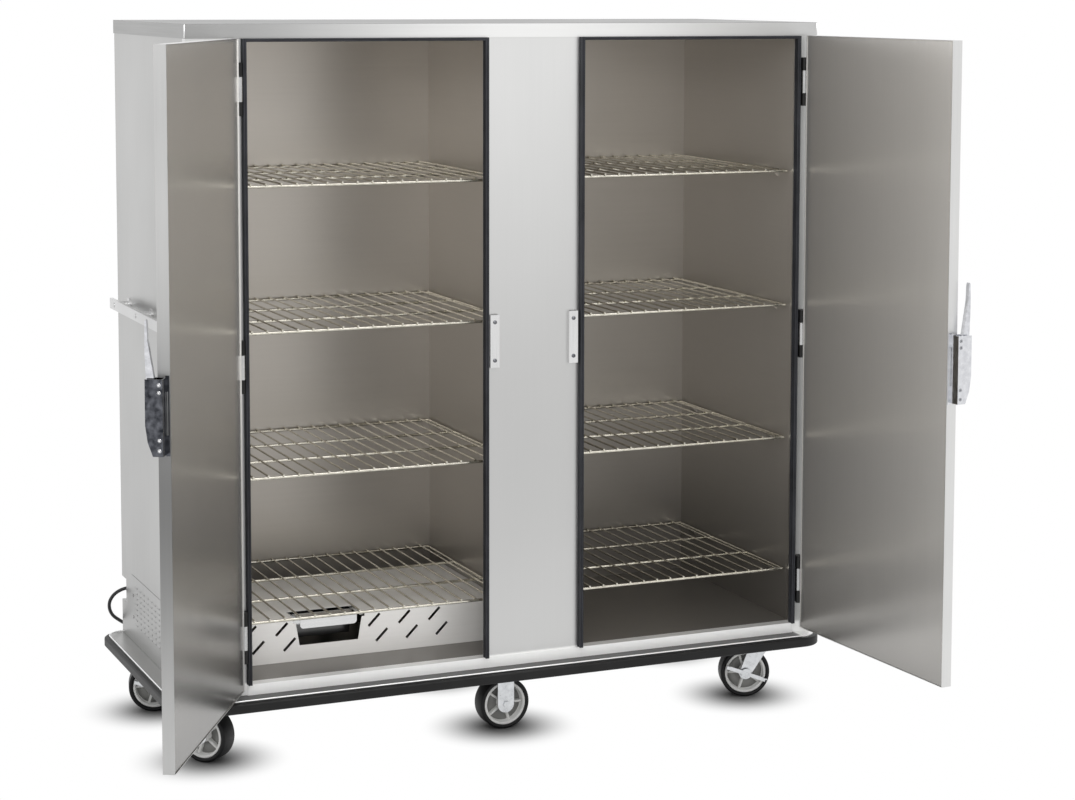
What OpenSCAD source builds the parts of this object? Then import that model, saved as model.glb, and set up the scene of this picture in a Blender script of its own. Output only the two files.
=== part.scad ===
// Heated banquet cabinet: two insulated compartments side by side behind two hinged doors,
// four wire shelves in each, a fan heater under the left shelves, on six casters.
// X runs along the front, Y to the back and Z up. The origin is on the floor, under the
// middle of the cabinet as it stands with its doors open.

/* [Body] */
// Depth of the body without its bumper
body_d = 700; // [640:1:780]
// Height of the door openings
open_h = 1540; // [1500:1:1600]
// Width of each door opening in the front frame
open_w = 618; // [590:1:630]
// Width of the stile on the left, which hides the air duct
left_stile = 133; // [110:1:150]
// Width of the stile on the right
right_stile = 50; // [40:1:80]
// Width of the broad post between the openings
mullion_w = 245; // [225:1:260]
// Depth of the front frame's boxed posts
frame_d = 25; // [20:1:40]
// Height of the light sill under the openings
sill_h = 26; // [20:1:40]
// Height of the cap's skirt over the body
cap_h = 34; // [28:1:50]
// Thickness of the outer sheet metal
sheet_t = 1.2; // [1:0.1:2]
// Thickness of the compartments' inner shells
liner_t = 1; // [0.8:0.1:1.5]
// Wall thickness of the front frame's posts
post_t = 1.5; // [1.2:0.1:2]
// Thickness of the wall between the two compartments
divider_t = 57; // [40:1:70]
// Space between the liners and the back panel
back_gap = 35; // [25:1:50]
// How far the cap stands proud of the body on each side
cap_proud = 2; // [1:0.5:3]

/* [Base] */
// Height of the rails' underside, where the casters bolt on
caster_h = 162; // [155:1:180]
// Height of the rails and the bumper over that
base_h = 28; // [24:1:40]
// How far the deck reaches past the body's front
deck_front = 50; // [40:1:60]
// How far the deck reaches past the body's left side, under the push bar
deck_left = 45; // [40:1:60]
// Space between the body's right side and the deck's rim
rim_gap_right = 1; // [1:1:46]
// Space between the body's back and the deck's rim
rim_gap_back = 1; // [1:1:16]
// How far the bumper stands out from the deck's rim
bumper_t = 12; // [10:1:16]
// Height of the bumper
bumper_h = 24; // [20:1:24]
// Radius of the deck's corners
deck_r = 46; // [35:1:60]
// Thickness of the deck's rim
rim_t = 3; // [2:0.5:5]

/* [Doors] */
// How far a door reaches past its opening on the latch side
latch_lap = 16; // [12:1:20]
// Thickness of a door
door_t = 27; // [22:1:34]
// How far the pin stands outboard of the opening
hinge_out = 8; // [7:0.5:10]
// Gap between the pin's axis and the door's edge
hinge_gap = 8; // [8:0.5:9]
// How far a door covers the sill and the cap
door_lap = 8; // [4:1:12]
// Angle at which the left door stands open
left_open = 119.5; // [0:0.5:128]
// Angle at which the right door stands open
right_open = 93.5; // [0:0.5:128]
// Width of the gasket around each opening
gasket_w = 10; // [8:1:14]
// How far the gasket stands out from the frame
gasket_t = 16; // [12:1:18]
// Height of a hinge
hinge_h = 124; // [90:1:140]
// Radius of a hinge knuckle
knuckle_r = 7; // [6:0.5:8]
// Radius of a hinge pin
pin_r = 3; // [2:0.5:4]

/* [Shelves] */
// Height of the lowest shelf's front rod
shelf_low = 351; // [345:1:360]
// Distance from one shelf to the next
shelf_pitch = 351; // [300:1:355]
// Diameter of the shelf's frame rods
rod_d = 7; // [5:0.5:9]
// Diameter of the wires that run from front to back
wire_d = 5; // [3.5:0.5:6]
// Distance between the front-to-back wires
wire_pitch = 38; // [25:1:50]
// Clearance between a shelf and the liner's walls
shelf_play = 4; // [2:0.5:8]
// How far the shelf's front rod stands behind the body's front
shelf_front = 45; // [40:1:80]

/* [Heater] */
// Distance of the heater cover's front behind the body's front
cover_front = 150; // [110:1:180]
// Height of the heater cover over the floor
cover_h = 106; // [100:1:112]
// Depth of the heater cover
cover_d = 400; // [340:1:440]
// Distance between the slots in the cover
slot_pitch = 80; // [60:1:90]
// Depth of the humidity pan from front to back
pan_d = 210; // [180:1:240]
// Diameter of the heating element's tube
element_d = 8; // [6:0.5:10]
// Radius of the blower wheel
blower_r = 45; // [35:1:50]

/* [Casters] */
// Diameter of a wheel
wheel_d = 132; // [120:1:133]
// Width of a wheel's tread
wheel_w = 50; // [40:1:52]
// Distance from the swivel pin to the axle
trail = 38; // [30:1:42]
// Distance of the corner casters from the body's ends
caster_x = 95; // [85:1:130]
// Distance of the casters from the body's front and back
caster_y = 105; // [95:1:130]
// Radius of the axle
axle_r = 4; // [3:0.5:6]
// Radius of the swivel pin
king_r = 6; // [5:0.5:8]

/* [Cord] */
// Diameter of the supply cord
cord_d = 9; // [8:0.5:10]

/* [Hidden] */

$fn = 48;

// Clearance of a running fit, on the radius
fit_gap = 0.05;
// Gap between pieces that lie against each other or move past each other
lay_gap = 0.3;
// Overlap that joins two shapes of one piece
join = 1;
// Sink that makes cuts open cleanly
cut = 1;

// Heights from the floor up
deck_z = caster_h + base_h;
floor_z = deck_z + sill_h;
open_top = floor_z + open_h;
cap_top = open_top + cap_h;
deck_t = 2;
rim_rise = 1;
deck_right = rim_t + rim_gap_right;
deck_back = rim_t + rim_gap_back;

// Edges of the openings and compartments along X
left_open_x = left_stile;
mullion_x = left_open_x + open_w;
right_open_x = mullion_x + mullion_w;
right_stile_x = right_open_x + open_w;
body_w = right_stile_x + right_stile;
comp_w = (right_stile_x - left_open_x - divider_t) / 2;
right_comp_x = right_stile_x - comp_w;
liner_back = body_d - back_gap;
liner_top = open_top - 6;
frame_back = frame_d + lay_gap;
header_h = cap_h - sheet_t - lay_gap;
flange_set = 3;
top_lap = 8;

// Hinge pins and doors
seal_gap = 0.4;
door_gap = gasket_t + seal_gap;
door_reach = open_w + hinge_out + latch_lap;
left_pin_x = left_open_x - hinge_out;
right_pin_x = right_stile_x + hinge_out;
door_low = floor_z - door_lap;
door_high = open_top + 1;
hinge_zs = [floor_z + 118, floor_z + open_h / 2 - 2, open_top - 118];
leaf_t = 3;
middle_knuckle = 58;
leaf_w = 19;

// The whole is set so that its middle, doors open, is over the origin
latch_reach = 33.5;
latch_stand = 48;
tip = door_reach + latch_reach;
left_reach_x = left_pin_x - tip * sin(left_open - 90) - latch_stand * cos(left_open - 90);
right_reach_x = max(body_w + deck_right + lay_gap + bumper_t,
    right_pin_x + tip * sin(right_open - 90) + latch_stand * cos(right_open - 90));
front_reach_y = -door_gap - tip * cos(right_open - 90);
back_reach_y = body_d + deck_back + lay_gap + bumper_t;
shift_x = -(left_reach_x + right_reach_x) / 2;
shift_y = -(front_reach_y + back_reach_y) / 2;

// Radius of each corner of the deck, to a tenth, no larger than lets the rim pass outside the body's corner
function clear_r(reach_x, reach_y) = let (wall = rim_t + 0.5)
    floor(10 * (reach_x + reach_y - wall + sqrt(2 * (reach_x - wall) * (reach_y - wall)))) / 10;
deck_radii = [
    min(deck_r, clear_r(deck_right, deck_back)),
    min(deck_r, clear_r(deck_left, deck_back)),
    min(deck_r, clear_r(deck_left, deck_front)),
    min(deck_r, clear_r(deck_right, deck_front))
];

// Casters: where each stands, and which way it trails
wheel_r = wheel_d / 2;
caster_spots = [
    [caster_x, caster_y, 131],
    [body_w - caster_x, caster_y, 163],
    [caster_x, body_d - caster_y, 168],
    [body_w - caster_x, body_d - caster_y, 180]
];
rigid_spots = [[body_w / 2, caster_y], [body_w / 2, body_d - caster_y]];
plate_t = 3;
race_h = 14;
race_z = caster_h - plate_t - race_h;
yoke_t = 5.7;
yoke_z = race_z - lay_gap - yoke_t;
leg_t = 3;
nut_t = 5;
stud_r = 4;
brake_t = 3;
fork_gap = wheel_w + 3;
rail_t = 3;

// Shelves and their ledges
shelf_w = comp_w - 2 * shelf_play;
shelf_back = liner_back - liner_t - 8;
ledge_w = 14;

// Cord: the inlet recess in the rear left corner
recess_low = 277;
recess_high = 339;
recess_x = 70;
recess_y = 655;
gland_y = 680;
gland_z = 310;
gland_len = 24;
access_back = 590;
access_low = floor_z - 3;
access_high = 366;

module place() {
    translate([shift_x, shift_y, 0]) children();
}

module steel(shade = "silver") {
    color(shade) place() children();
}

// Flat outline with round corners, from one corner to the other
module round_rect(x0, y0, x1, y1, r) {
    translate([x0 + r, y0]) square([x1 - x0 - 2 * r, y1 - y0]);
    translate([x0, y0 + r]) square([x1 - x0, y1 - y0 - 2 * r]);
    for (x = [x0 + r, x1 - r], y = [y0 + r, y1 - r]) {
        translate([x, y]) circle(r);
    }
}

// Carries a flat profile around the deck, its own X pointing outwards
module around_deck(grow) {
    half_x = (deck_left + body_w + deck_right) / 2 + grow;
    half_y = (deck_front + body_d + deck_back) / 2 + grow;
    translate([(body_w + deck_right - deck_left) / 2, (body_d + deck_back - deck_front) / 2, 0]) {
        for (k = [0:3]) {
            out = k % 2 == 0 ? half_x : half_y;
            run = k % 2 == 0 ? half_y : half_x;
            r = deck_radii[k] + grow;
            last_r = deck_radii[(k + 3) % 4] + grow;
            rotate([0, 0, 90 * k]) {
                translate([out, run - r, 0])
                    rotate([90, 0, 0])
                        linear_extrude(2 * run - r - last_r) children();
                translate([out - r, run - r, 0])
                    rotate_extrude(angle = 90)
                        translate([r, 0]) children();
            }
        }
    }
}

// The deck's flat outline, drawn in by inset
module deck_outline(inset) {
    x0 = inset - deck_left;
    y0 = inset - deck_front;
    x1 = body_w + deck_right - inset;
    y1 = body_d + deck_back - inset;
    corners = [[x1, y1, -1, -1], [x0, y1, 1, -1], [x0, y0, 1, 1], [x1, y0, -1, 1]];
    difference() {
        translate([x0, y0]) square([x1 - x0, y1 - y0]);
        for (k = [0:3]) {
            c = corners[k];
            r = deck_radii[k] - inset;
            translate([c[2] > 0 ? c[0] - cut : c[0] - r, c[3] > 0 ? c[1] - cut : c[1] - r])
                square(r + cut);
        }
    }
    for (k = [0:3]) {
        c = corners[k];
        r = deck_radii[k] - inset;
        translate([c[0] + c[2] * r, c[1] + c[3] * r]) circle(r);
    }
}

// Extrudes a profile drawn in X and Z along Y, from y0 to y1
module along_y(y0, y1) {
    translate([0, y1, 0]) rotate([90, 0, 0]) linear_extrude(y1 - y0) children();
}

// Puts a shape drawn for the left door at its hinge pin, opened
module on_left_door() {
    translate([left_pin_x, -door_gap, 0]) rotate([0, 0, -left_open]) children();
}

// Puts the mirrored shape at the right door's hinge pin, opened
module on_right_door() {
    translate([right_pin_x, -door_gap, 0]) rotate([0, 0, right_open]) mirror([1, 0, 0]) children();
}

// Base and body

module rail(x0, y0, x1, y1) {
    difference() {
        translate([x0, y0, caster_h]) cube([x1 - x0, y1 - y0, base_h - deck_t + join]);
        if (x1 - x0 > y1 - y0) {
            translate([x0 - cut, y0 + rail_t, caster_h + rail_t])
                cube([x1 - x0 + 2 * cut, y1 - y0 - 2 * rail_t, base_h]);
        } else {
            translate([x0 + rail_t, y0 - cut, caster_h + rail_t])
                cube([x1 - x0 - 2 * rail_t, y1 - y0 + 2 * cut, base_h]);
        }
    }
}

module base_frame() {
    rail_half = 45;
    steel("#B9B9B9") {
        translate([0, 0, deck_z - deck_t]) linear_extrude(deck_t) deck_outline(join);
        around_deck(0)
            translate([-rim_t, caster_h]) square([rim_t, base_h + rim_rise]);
        for (y = [caster_y, body_d - caster_y]) {
            rail(caster_x - rail_half, y - rail_half, body_w - caster_x + rail_half, y + rail_half);
        }
        for (x = [caster_x, body_w / 2, body_w - caster_x]) {
            rail(x - rail_half, caster_y + rail_half - join,
                x + rail_half, body_d - caster_y - rail_half + join);
        }
    }
}

module bumper() {
    edge = 5;
    color("#2B2B2B") place()
        around_deck(lay_gap)
            translate([0, caster_h + 1]) {
                square([bumper_t - edge, bumper_h]);
                translate([0, edge]) square([bumper_t, bumper_h - 2 * edge]);
                for (z = [edge, bumper_h - edge]) {
                    translate([bumper_t - edge, z]) circle(edge);
                }
            }
}

module left_side_panel() {
    vent_front = 60;
    vent_back = 560;
    steel("#BEBEBE")
        difference() {
            translate([0, frame_back, deck_z])
                cube([sheet_t, body_d - sheet_t - lay_gap - frame_back, cap_top - sheet_t - lay_gap - deck_z]);
            translate([-cut, vent_front, access_low + 15])
                cube([sheet_t + 2 * cut, vent_back - vent_front, access_high - access_low - 30]);
            translate([-cut, recess_y, recess_low])
                cube([sheet_t + 2 * cut, body_d, recess_high - recess_low]);
        }
}

module right_side_panel() {
    steel("#BEBEBE")
        translate([body_w - sheet_t, frame_back, deck_z])
            cube([sheet_t, body_d - sheet_t - lay_gap - frame_back, cap_top - sheet_t - lay_gap - deck_z]);
}

module back_panel() {
    steel("#B4B4B4") {
        difference() {
            union() {
                translate([0, body_d - sheet_t, deck_z])
                    cube([body_w, sheet_t, cap_top - sheet_t - lay_gap - deck_z]);
                translate([sheet_t + lay_gap, recess_y - sheet_t, recess_low - sheet_t])
                    cube([recess_x - lay_gap, body_d - recess_y + join,
                        recess_high - recess_low + 2 * sheet_t]);
            }
            translate([-cut, recess_y, recess_low])
                cube([recess_x + cut, body_d, recess_high - recess_low]);
        }
    }
}

module top_panel() {
    steel("#C8C8C8")
        difference() {
            translate([-cap_proud, -cap_proud, open_top])
                cube([body_w + 2 * cap_proud, body_d + 2 * cap_proud, cap_h]);
            translate([0, 0, open_top - cut]) cube([body_w, body_d, cap_h - sheet_t + cut]);
        }
}

// A flange behind the gasket, from x0 to x1
module flange(x0, x1) {
    translate([x0, flange_set, floor_z]) cube([x1 - x0, post_t, open_h]);
}

// The hollow of a post from x0 to x1, from z0 to z1
module post_hollow(x0, x1, z0, z1) {
    translate([x0 + post_t, post_t, z0]) cube([x1 - x0 - 2 * post_t, frame_d - 2 * post_t, z1 - z0]);
}

// The channel along the back of the sill or the header, from z0 to z1
module channel(z0, z1) {
    translate([post_t, post_t, z0 + post_t]) cube([body_w - 2 * post_t, frame_d, z1 - z0 - 2 * post_t]);
}

// Two boxed posts between a sill and a header, which are channels open at the back
module front_frame() {
    sill_out = 5;
    header_top = open_top + header_h;
    steel("#E0DEDC") {
        difference() {
            union() {
                for (span = [[0, left_open_x], [right_stile_x, body_w]]) {
                    translate([span[0], 0, deck_z]) cube([span[1] - span[0], frame_d, header_top - deck_z]);
                }
                translate([0, 0, deck_z]) cube([body_w, frame_d, sill_h]);
                translate([0, 0, open_top]) cube([body_w, frame_d, header_h]);
            }
            post_hollow(0, left_open_x, deck_z + post_t, header_top - post_t);
            post_hollow(right_stile_x, body_w, deck_z + post_t, header_top - post_t);
            channel(deck_z, floor_z);
            channel(open_top, header_top);
        }
        flange(left_open_x - join, left_open_x + gasket_w);
        flange(right_stile_x - gasket_w, right_stile_x + join);
        for (x = [left_open_x - join, right_open_x + gasket_w + lay_gap]) {
            translate([x, flange_set, open_top - top_lap])
                cube([open_w - gasket_w - lay_gap + join, post_t, top_lap + join]);
        }
        translate([left_open_x + sill_out, -sill_out, deck_z])
            cube([right_stile_x - left_open_x - 2 * sill_out, sill_out + join, sill_h]);
        for (x = [left_open_x + sill_out, right_stile_x - sill_out]) {
            difference() {
                translate([x, 0, deck_z]) cylinder(h = sill_h, r = sill_out);
                translate([x - 2 * sill_out, join, deck_z - cut])
                    cube([4 * sill_out, 2 * sill_out, sill_h + 2 * cut]);
            }
        }
    }
}

// The post between the openings, a box open at both ends
module center_mullion() {
    steel("#D2D2D2") {
        difference() {
            translate([mullion_x, 0, floor_z]) cube([mullion_w, frame_d, open_h]);
            post_hollow(mullion_x, right_open_x, floor_z - cut, open_top + cut);
        }
        flange(mullion_x - gasket_w, mullion_x + join);
        flange(right_open_x - join, right_open_x + gasket_w);
    }
}

module access_panel() {
    columns = 8;
    rows = 8;
    col_pitch = 38;
    row_pitch = 14;
    slot_l = 26;
    first_y = 262;
    slot_h = 2;
    louvre = 1.5;
    steel("#C0C0C0") {
        difference() {
            translate([-sheet_t, frame_back + 5, access_low])
                cube([sheet_t, access_back - frame_back - 5, access_high - access_low]);
            for (c = [0:columns - 1], r = [0:rows - 1]) {
                translate([-sheet_t - cut, first_y + c * col_pitch, access_low + 28 + r * row_pitch])
                    cube([sheet_t + 2 * cut, slot_l, slot_h]);
            }
        }
        for (c = [0:columns - 1], r = [0:rows - 1]) {
            translate([-sheet_t, first_y + c * col_pitch + slot_l, access_low + 30 + r * row_pitch])
                rotate([90, 0, 0])
                    linear_extrude(slot_l)
                        polygon([[0.5, 5], [-louvre, 0], [0.6 - louvre, 0], [0.5, 3.5]]);
        }
        for (z = [access_low + 45, access_high - 52], y = [frame_back + 15, access_back - 16]) {
            translate([-sheet_t - 1.5, y, z]) rotate([0, 90, 0]) cylinder(h = 2, r = 4);
        }
    }
}

// One compartment's inner shell, open at the front, with ledges for the shelves
module liner(x0) {
    w = comp_w;
    h = liner_top - floor_z;
    difference() {
        translate([x0 - liner_t, frame_back, floor_z - liner_t])
            cube([w + 2 * liner_t, liner_back - frame_back, h + 2 * liner_t]);
        translate([x0, frame_back - cut, floor_z])
            cube([w, liner_back - frame_back - liner_t + cut, h]);
    }
    for (k = [0:3], y = [shelf_front + 60, shelf_back - 90], side = [0, 1]) {
        z = shelf_low + k * shelf_pitch - rod_d / 2 - lay_gap;
        translate([x0 + side * w, y, z])
            mirror([side, 0, 0])
                along_y(0, 30)
                    polygon([[-0.5, -16], [0, -16], [ledge_w, -3], [ledge_w, 0], [-0.5, 0]]);
    }
}

module left_liner() {
    steel("#8C8680") liner(left_open_x);
}

module right_liner() {
    steel("#8C8680") liner(right_comp_x);
}

// Two upright strips and one along the top of the opening that starts at x0
module gasket(x0) {
    color("#35353A") place() {
        for (x = [x0 + lay_gap, x0 + open_w - gasket_w]) {
            translate([x, -gasket_t, floor_z + lay_gap])
                cube([gasket_w - lay_gap, gasket_t + flange_set - lay_gap, open_h - 2 * lay_gap]);
        }
        translate([x0 + gasket_w - join, -gasket_t, open_top - top_lap])
            cube([open_w - 2 * gasket_w + 2 * join, gasket_t + flange_set - lay_gap, top_lap - lay_gap]);
    }
}

module left_gasket() {
    gasket(left_open_x);
}

module right_gasket() {
    gasket(right_open_x);
}

// Shelves

module shelf(x0, level) {
    z = shelf_low + level * shelf_pitch;
    left = x0 + shelf_play + rod_d / 2;
    right = x0 + comp_w - shelf_play - rod_d / 2;
    wires = floor((right - left - 20) / wire_pitch);
    first = (left + right - wires * wire_pitch) / 2;
    wire_z = z + (rod_d + wire_d) / 2 - 0.7;
    wire_over = 4;
    color("#D8D4C8") place() {
        for (y = [shelf_front, shelf_back]) {
            translate([left, y, z]) rotate([0, 90, 0]) cylinder(h = right - left, d = rod_d, $fn = 24);
        }
        for (y = [1, 2]) {
            translate([left, shelf_front + y * (shelf_back - shelf_front) / 3, z])
                rotate([0, 90, 0]) cylinder(h = right - left, d = rod_d, $fn = 24);
        }
        for (x = [left, right]) {
            translate([x, shelf_front, z]) sphere(d = rod_d, $fn = 24);
            translate([x, shelf_back, z]) sphere(d = rod_d, $fn = 24);
            translate([x, shelf_front, z])
                rotate([-90, 0, 0]) cylinder(h = shelf_back - shelf_front, d = rod_d, $fn = 24);
        }
        for (k = [0:wires]) {
            translate([first + k * wire_pitch, shelf_front - wire_over, wire_z])
                rotate([-90, 0, 0])
                    cylinder(h = shelf_back - shelf_front + 2 * wire_over, d = wire_d, $fn = 16);
        }
    }
}

module left_shelf_1() { shelf(left_open_x, 0); }
module left_shelf_2() { shelf(left_open_x, 1); }
module left_shelf_3() { shelf(left_open_x, 2); }
module left_shelf_4() { shelf(left_open_x, 3); }
module right_shelf_1() { shelf(right_comp_x, 0); }
module right_shelf_2() { shelf(right_comp_x, 1); }
module right_shelf_3() { shelf(right_comp_x, 2); }
module right_shelf_4() { shelf(right_comp_x, 3); }

// Doors, drawn closed with the pin at the origin, the free edge along +X and outside at -Y

door_skin = 1;

module door_pan() {
    difference() {
        translate([hinge_gap, -door_t, door_low])
            cube([door_reach - hinge_gap, door_t, door_high - door_low]);
        translate([hinge_gap + door_skin, -door_t + door_skin, door_low + door_skin])
            cube([door_reach - hinge_gap - 2 * door_skin, door_t,
                door_high - door_low - 2 * door_skin]);
    }
}

// The inner sheet, a little behind the pan's edge, with two open channels that stiffen the door
module door_sheet() {
    inset = door_skin + 0.1;
    set_in = 2;
    rib_w = 40;
    rib_d = door_t - 2 * door_skin - set_in + join / 2;
    rib_h = door_high - door_low - 80;
    translate([hinge_gap + inset, -door_skin - set_in, door_low + inset])
        cube([door_reach - hinge_gap - 2 * inset, door_skin, door_high - door_low - 2 * inset]);
    for (x = [hinge_gap + 80, door_reach - 120]) {
        difference() {
            translate([x, -door_t + door_skin, door_low + 40]) cube([rib_w, rib_d, rib_h]);
            translate([x + door_skin, -door_t + 2 * door_skin, door_low + 40 - cut])
                cube([rib_w - 2 * door_skin, rib_d, rib_h + 2 * cut]);
        }
    }
}

module left_door_shell() { color("#B8B8B8") place() on_left_door() door_pan(); }
module left_door_liner() { color("#8A867F") place() on_left_door() door_sheet(); }
module right_door_shell() { color("#B8B8B8") place() on_right_door() door_pan(); }
module right_door_liner() { color("#8A867F") place() on_right_door() door_sheet(); }

// Hinges

module cabinet_leaf(z) {
    end = (hinge_h - middle_knuckle) / 2 - lay_gap;
    for (low = [z - hinge_h / 2, z + hinge_h / 2 - end]) {
        translate([0, 0, low]) cylinder(h = end, r = knuckle_r);
        translate([-2, 0, low]) cube([4, door_gap - leaf_t + join, end]);
    }
    translate([0, 0, z - hinge_h / 2]) cylinder(h = hinge_h, r = pin_r);
    translate([hinge_out - leaf_w - 1, door_gap - leaf_t, z - hinge_h / 2])
        cube([leaf_w, leaf_t, hinge_h]);
}

module cabinet_hinge_leaves() {
    steel("#7A7A7A")
        for (z = hinge_zs) {
            translate([left_pin_x, -door_gap, 0]) cabinet_leaf(z);
            translate([right_pin_x, -door_gap, 0]) mirror([1, 0, 0]) cabinet_leaf(z);
        }
}

module door_leaf(z) {
    difference() {
        union() {
            translate([0, 0, z - middle_knuckle / 2]) cylinder(h = middle_knuckle, r = knuckle_r);
            translate([hinge_gap - 5, -door_t + 3, z - middle_knuckle / 2])
                cube([5, door_t - 3, middle_knuckle]);
        }
        translate([0, 0, z - middle_knuckle]) cylinder(h = 2 * middle_knuckle, r = pin_r + fit_gap);
    }
}

module left_door_hinge_leaves() {
    steel("#A8A8A8") on_left_door() for (z = hinge_zs) door_leaf(z);
}

module right_door_hinge_leaves() {
    steel("#A8A8A8") on_right_door() for (z = hinge_zs) door_leaf(z);
}

// Latches stand past the door's free edge. X runs along the door and Y towards its inside.

latch_z = 899;
latch_h = 163;
latch_w = 32;
pivot_y = -37;
pivot_z = latch_z + 76;
pivot_r = 3;
cheek_t = 2.5;

module latch_side() {
    polygon([[-8, latch_z], [-8, latch_z + latch_h], [-46, latch_z + latch_h],
        [-46, latch_z + 66], [-41, latch_z + 30], [-30, latch_z]]);
}

// Extrudes a profile drawn in Y and Z along X, from x0 to x1
module along_x(x0, x1) {
    translate([x0, 0, 0]) rotate([90, 0, 90]) linear_extrude(x1 - x0) children();
}

module latch_body() {
    near = door_reach + lay_gap;
    far = near + latch_w;
    along_x(near, near + cheek_t) latch_side();
    along_x(far - cheek_t, far) latch_side();
    translate([near, -11, latch_z]) cube([latch_w, 3, latch_h]);
    translate([near, -30, latch_z]) cube([latch_w, 22, 3]);
    translate([near, pivot_y, pivot_z]) rotate([0, 90, 0]) cylinder(h = latch_w, r = pivot_r);
    difference() {
        translate([near - 0.1, -10, latch_z - 4]) cube([1.6, 8, latch_h + 8]);
        translate([near - cut, -7.5, latch_z + 40]) cube([4, 3, latch_h - 70]);
    }
    for (z = [latch_z + 12, latch_z + 34, latch_z + latch_h - 28, latch_z + latch_h - 12]) {
        translate([far - join, -16, z]) rotate([0, 90, 0]) cylinder(h = join + 1.2, r = 3.2);
    }
    translate([near - 42, -door_t - 2.5, latch_z + 20])
        cube([44, 2.5, latch_h - 40]);
}

// A narrow lever that widens towards the housing, on a hub as wide as the housing's inside
module latch_lever() {
    lever_w = 12;
    side = door_reach + lay_gap + (latch_w - lever_w) / 2;
    near = door_reach + lay_gap + cheek_t + 0.5;
    hub_l = latch_w - 2 * cheek_t - 1;
    top = latch_z + latch_h;
    difference() {
        union() {
            along_x(side, side + lever_w)
                polygon([[pivot_y - 5, pivot_z - 6], [pivot_y + 5, pivot_z - 6], [-29, pivot_z + 16],
                    [-28, top - 6], [-30, top + 8], [-37, top + 50], [-42, top + 82],
                    [-43, top + 112], [-44, top + 122], [-45.5, top + 124], [-47, top + 121],
                    [-48, top + 84], [-48, top + 50], [-46, top], [-45, pivot_z + 16]]);
            translate([near, pivot_y, pivot_z]) rotate([0, 90, 0]) cylinder(h = hub_l, r = 7);
        }
        translate([near - cut, pivot_y, pivot_z])
            rotate([0, 90, 0]) cylinder(h = latch_w + 2 * cut, r = pivot_r + fit_gap);
    }
}

module left_latch_body() { color("#9A9A9E") place() on_left_door() latch_body(); }
module left_latch_lever() { color("#C8C8CC") place() on_left_door() latch_lever(); }
module right_latch_body() { color("#9A9A9E") place() on_right_door() latch_body(); }
module right_latch_lever() { color("#C8C8CC") place() on_right_door() latch_lever(); }

module strike(x) {
    strike_w = 24;
    strike_h = 131;
    strike_d = 9;
    low = 944;
    difference() {
        translate([x, -strike_d, low]) cube([strike_w, strike_d, strike_h]);
        translate([x + 2, -strike_d + 2, low - cut]) cube([strike_w, strike_d, strike_h + 2 * cut]);
    }
    translate([x + strike_w - 2, -strike_d, low]) cube([2, strike_d, strike_h]);
    for (z = [low + 18, low + strike_h - 18]) {
        translate([x + strike_w / 2, -strike_d + join, z])
            rotate([90, 0, 0]) cylinder(h = join + 1.5, r = 4);
        translate([x + strike_w / 2, 0, z]) rotate([90, 0, 0]) cylinder(h = strike_d - 1, r = 3);
    }
}

module latch_strikes() {
    steel("#DADADA") {
        strike(mullion_x + 5);
        strike(right_open_x - 29);
    }
}

// A channel bar on three posts, on the left side
module push_handle() {
    bar_len = 540;
    post_in = 45;
    bar_h = 26;
    bar_t = 8;
    stand = 40;
    z = 1070;
    y0 = (body_d - bar_len) / 2;
    posts = [y0 + post_in, body_d / 2, y0 + bar_len - post_in];
    steel("#CFCFCF") {
        difference() {
            translate([-stand, y0, z - bar_h / 2]) cube([bar_t, bar_len, bar_h]);
            translate([-stand + 2, y0 - cut, z - bar_h / 2 + 2])
                cube([3, bar_len + 2 * cut, bar_h - 4]);
        }
        for (y = posts) {
            translate([-stand + bar_t - join, y, z])
                rotate([0, 90, 0]) cylinder(h = stand - bar_t, r = 9);
            translate([-3, y, z]) rotate([0, 90, 0]) cylinder(h = 3, r = 16);
            translate([-stand - 1.5, y, z]) rotate([0, 90, 0]) cylinder(h = 3, r = 6);
        }
    }
}

// Heater and humidity pan

cover_w = comp_w - 2;
cover_x = left_open_x + 1;
cover_t = 1.5;
cover_low = floor_z + lay_gap;
cover_top = cover_low + cover_h;
window_x = 300;
window_w = 175;
window_low_w = 152;
window_low = floor_z + 39;
window_mid = window_x + window_w / 2;
ear_w = 6;
ear_h = 10;
slot_xs = [186, 266, 506, 586, 666];
slot_l = 42;
slot_w = 7;
lower_slots_right = 20;
upper_slots_z = floor_z + 84;
lower_slots_z = floor_z + 44;
pan_t = 1.5;
pan_w = window_w - 14;
pan_low_w = window_low_w - 8;
pan_flange = 10;
pan_front = cover_front + 62;
pan_floor = window_low + 4;
pan_top = cover_top - cover_t - 3;
runner_t = 1.5;
runner_gap = 1;

// The outline of the pan's section, made smaller by the given thickness
module pan_section(thin) {
    low = pan_low_w / 2 - thin;
    high = pan_w / 2 - thin;
    polygon([[-low, pan_floor + thin], [low, pan_floor + thin], [high, pan_top + thin],
        [-high, pan_top + thin]]);
}

module cover_slots(right, z) {
    for (x = slot_xs) {
        translate([x + right, cover_front - cut, z])
            rotate([0, -45, 0])
                translate([-slot_l / 2, 0, -slot_w / 2])
                    cube([slot_l, cover_t + 2 * cut, slot_w]);
    }
}

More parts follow.
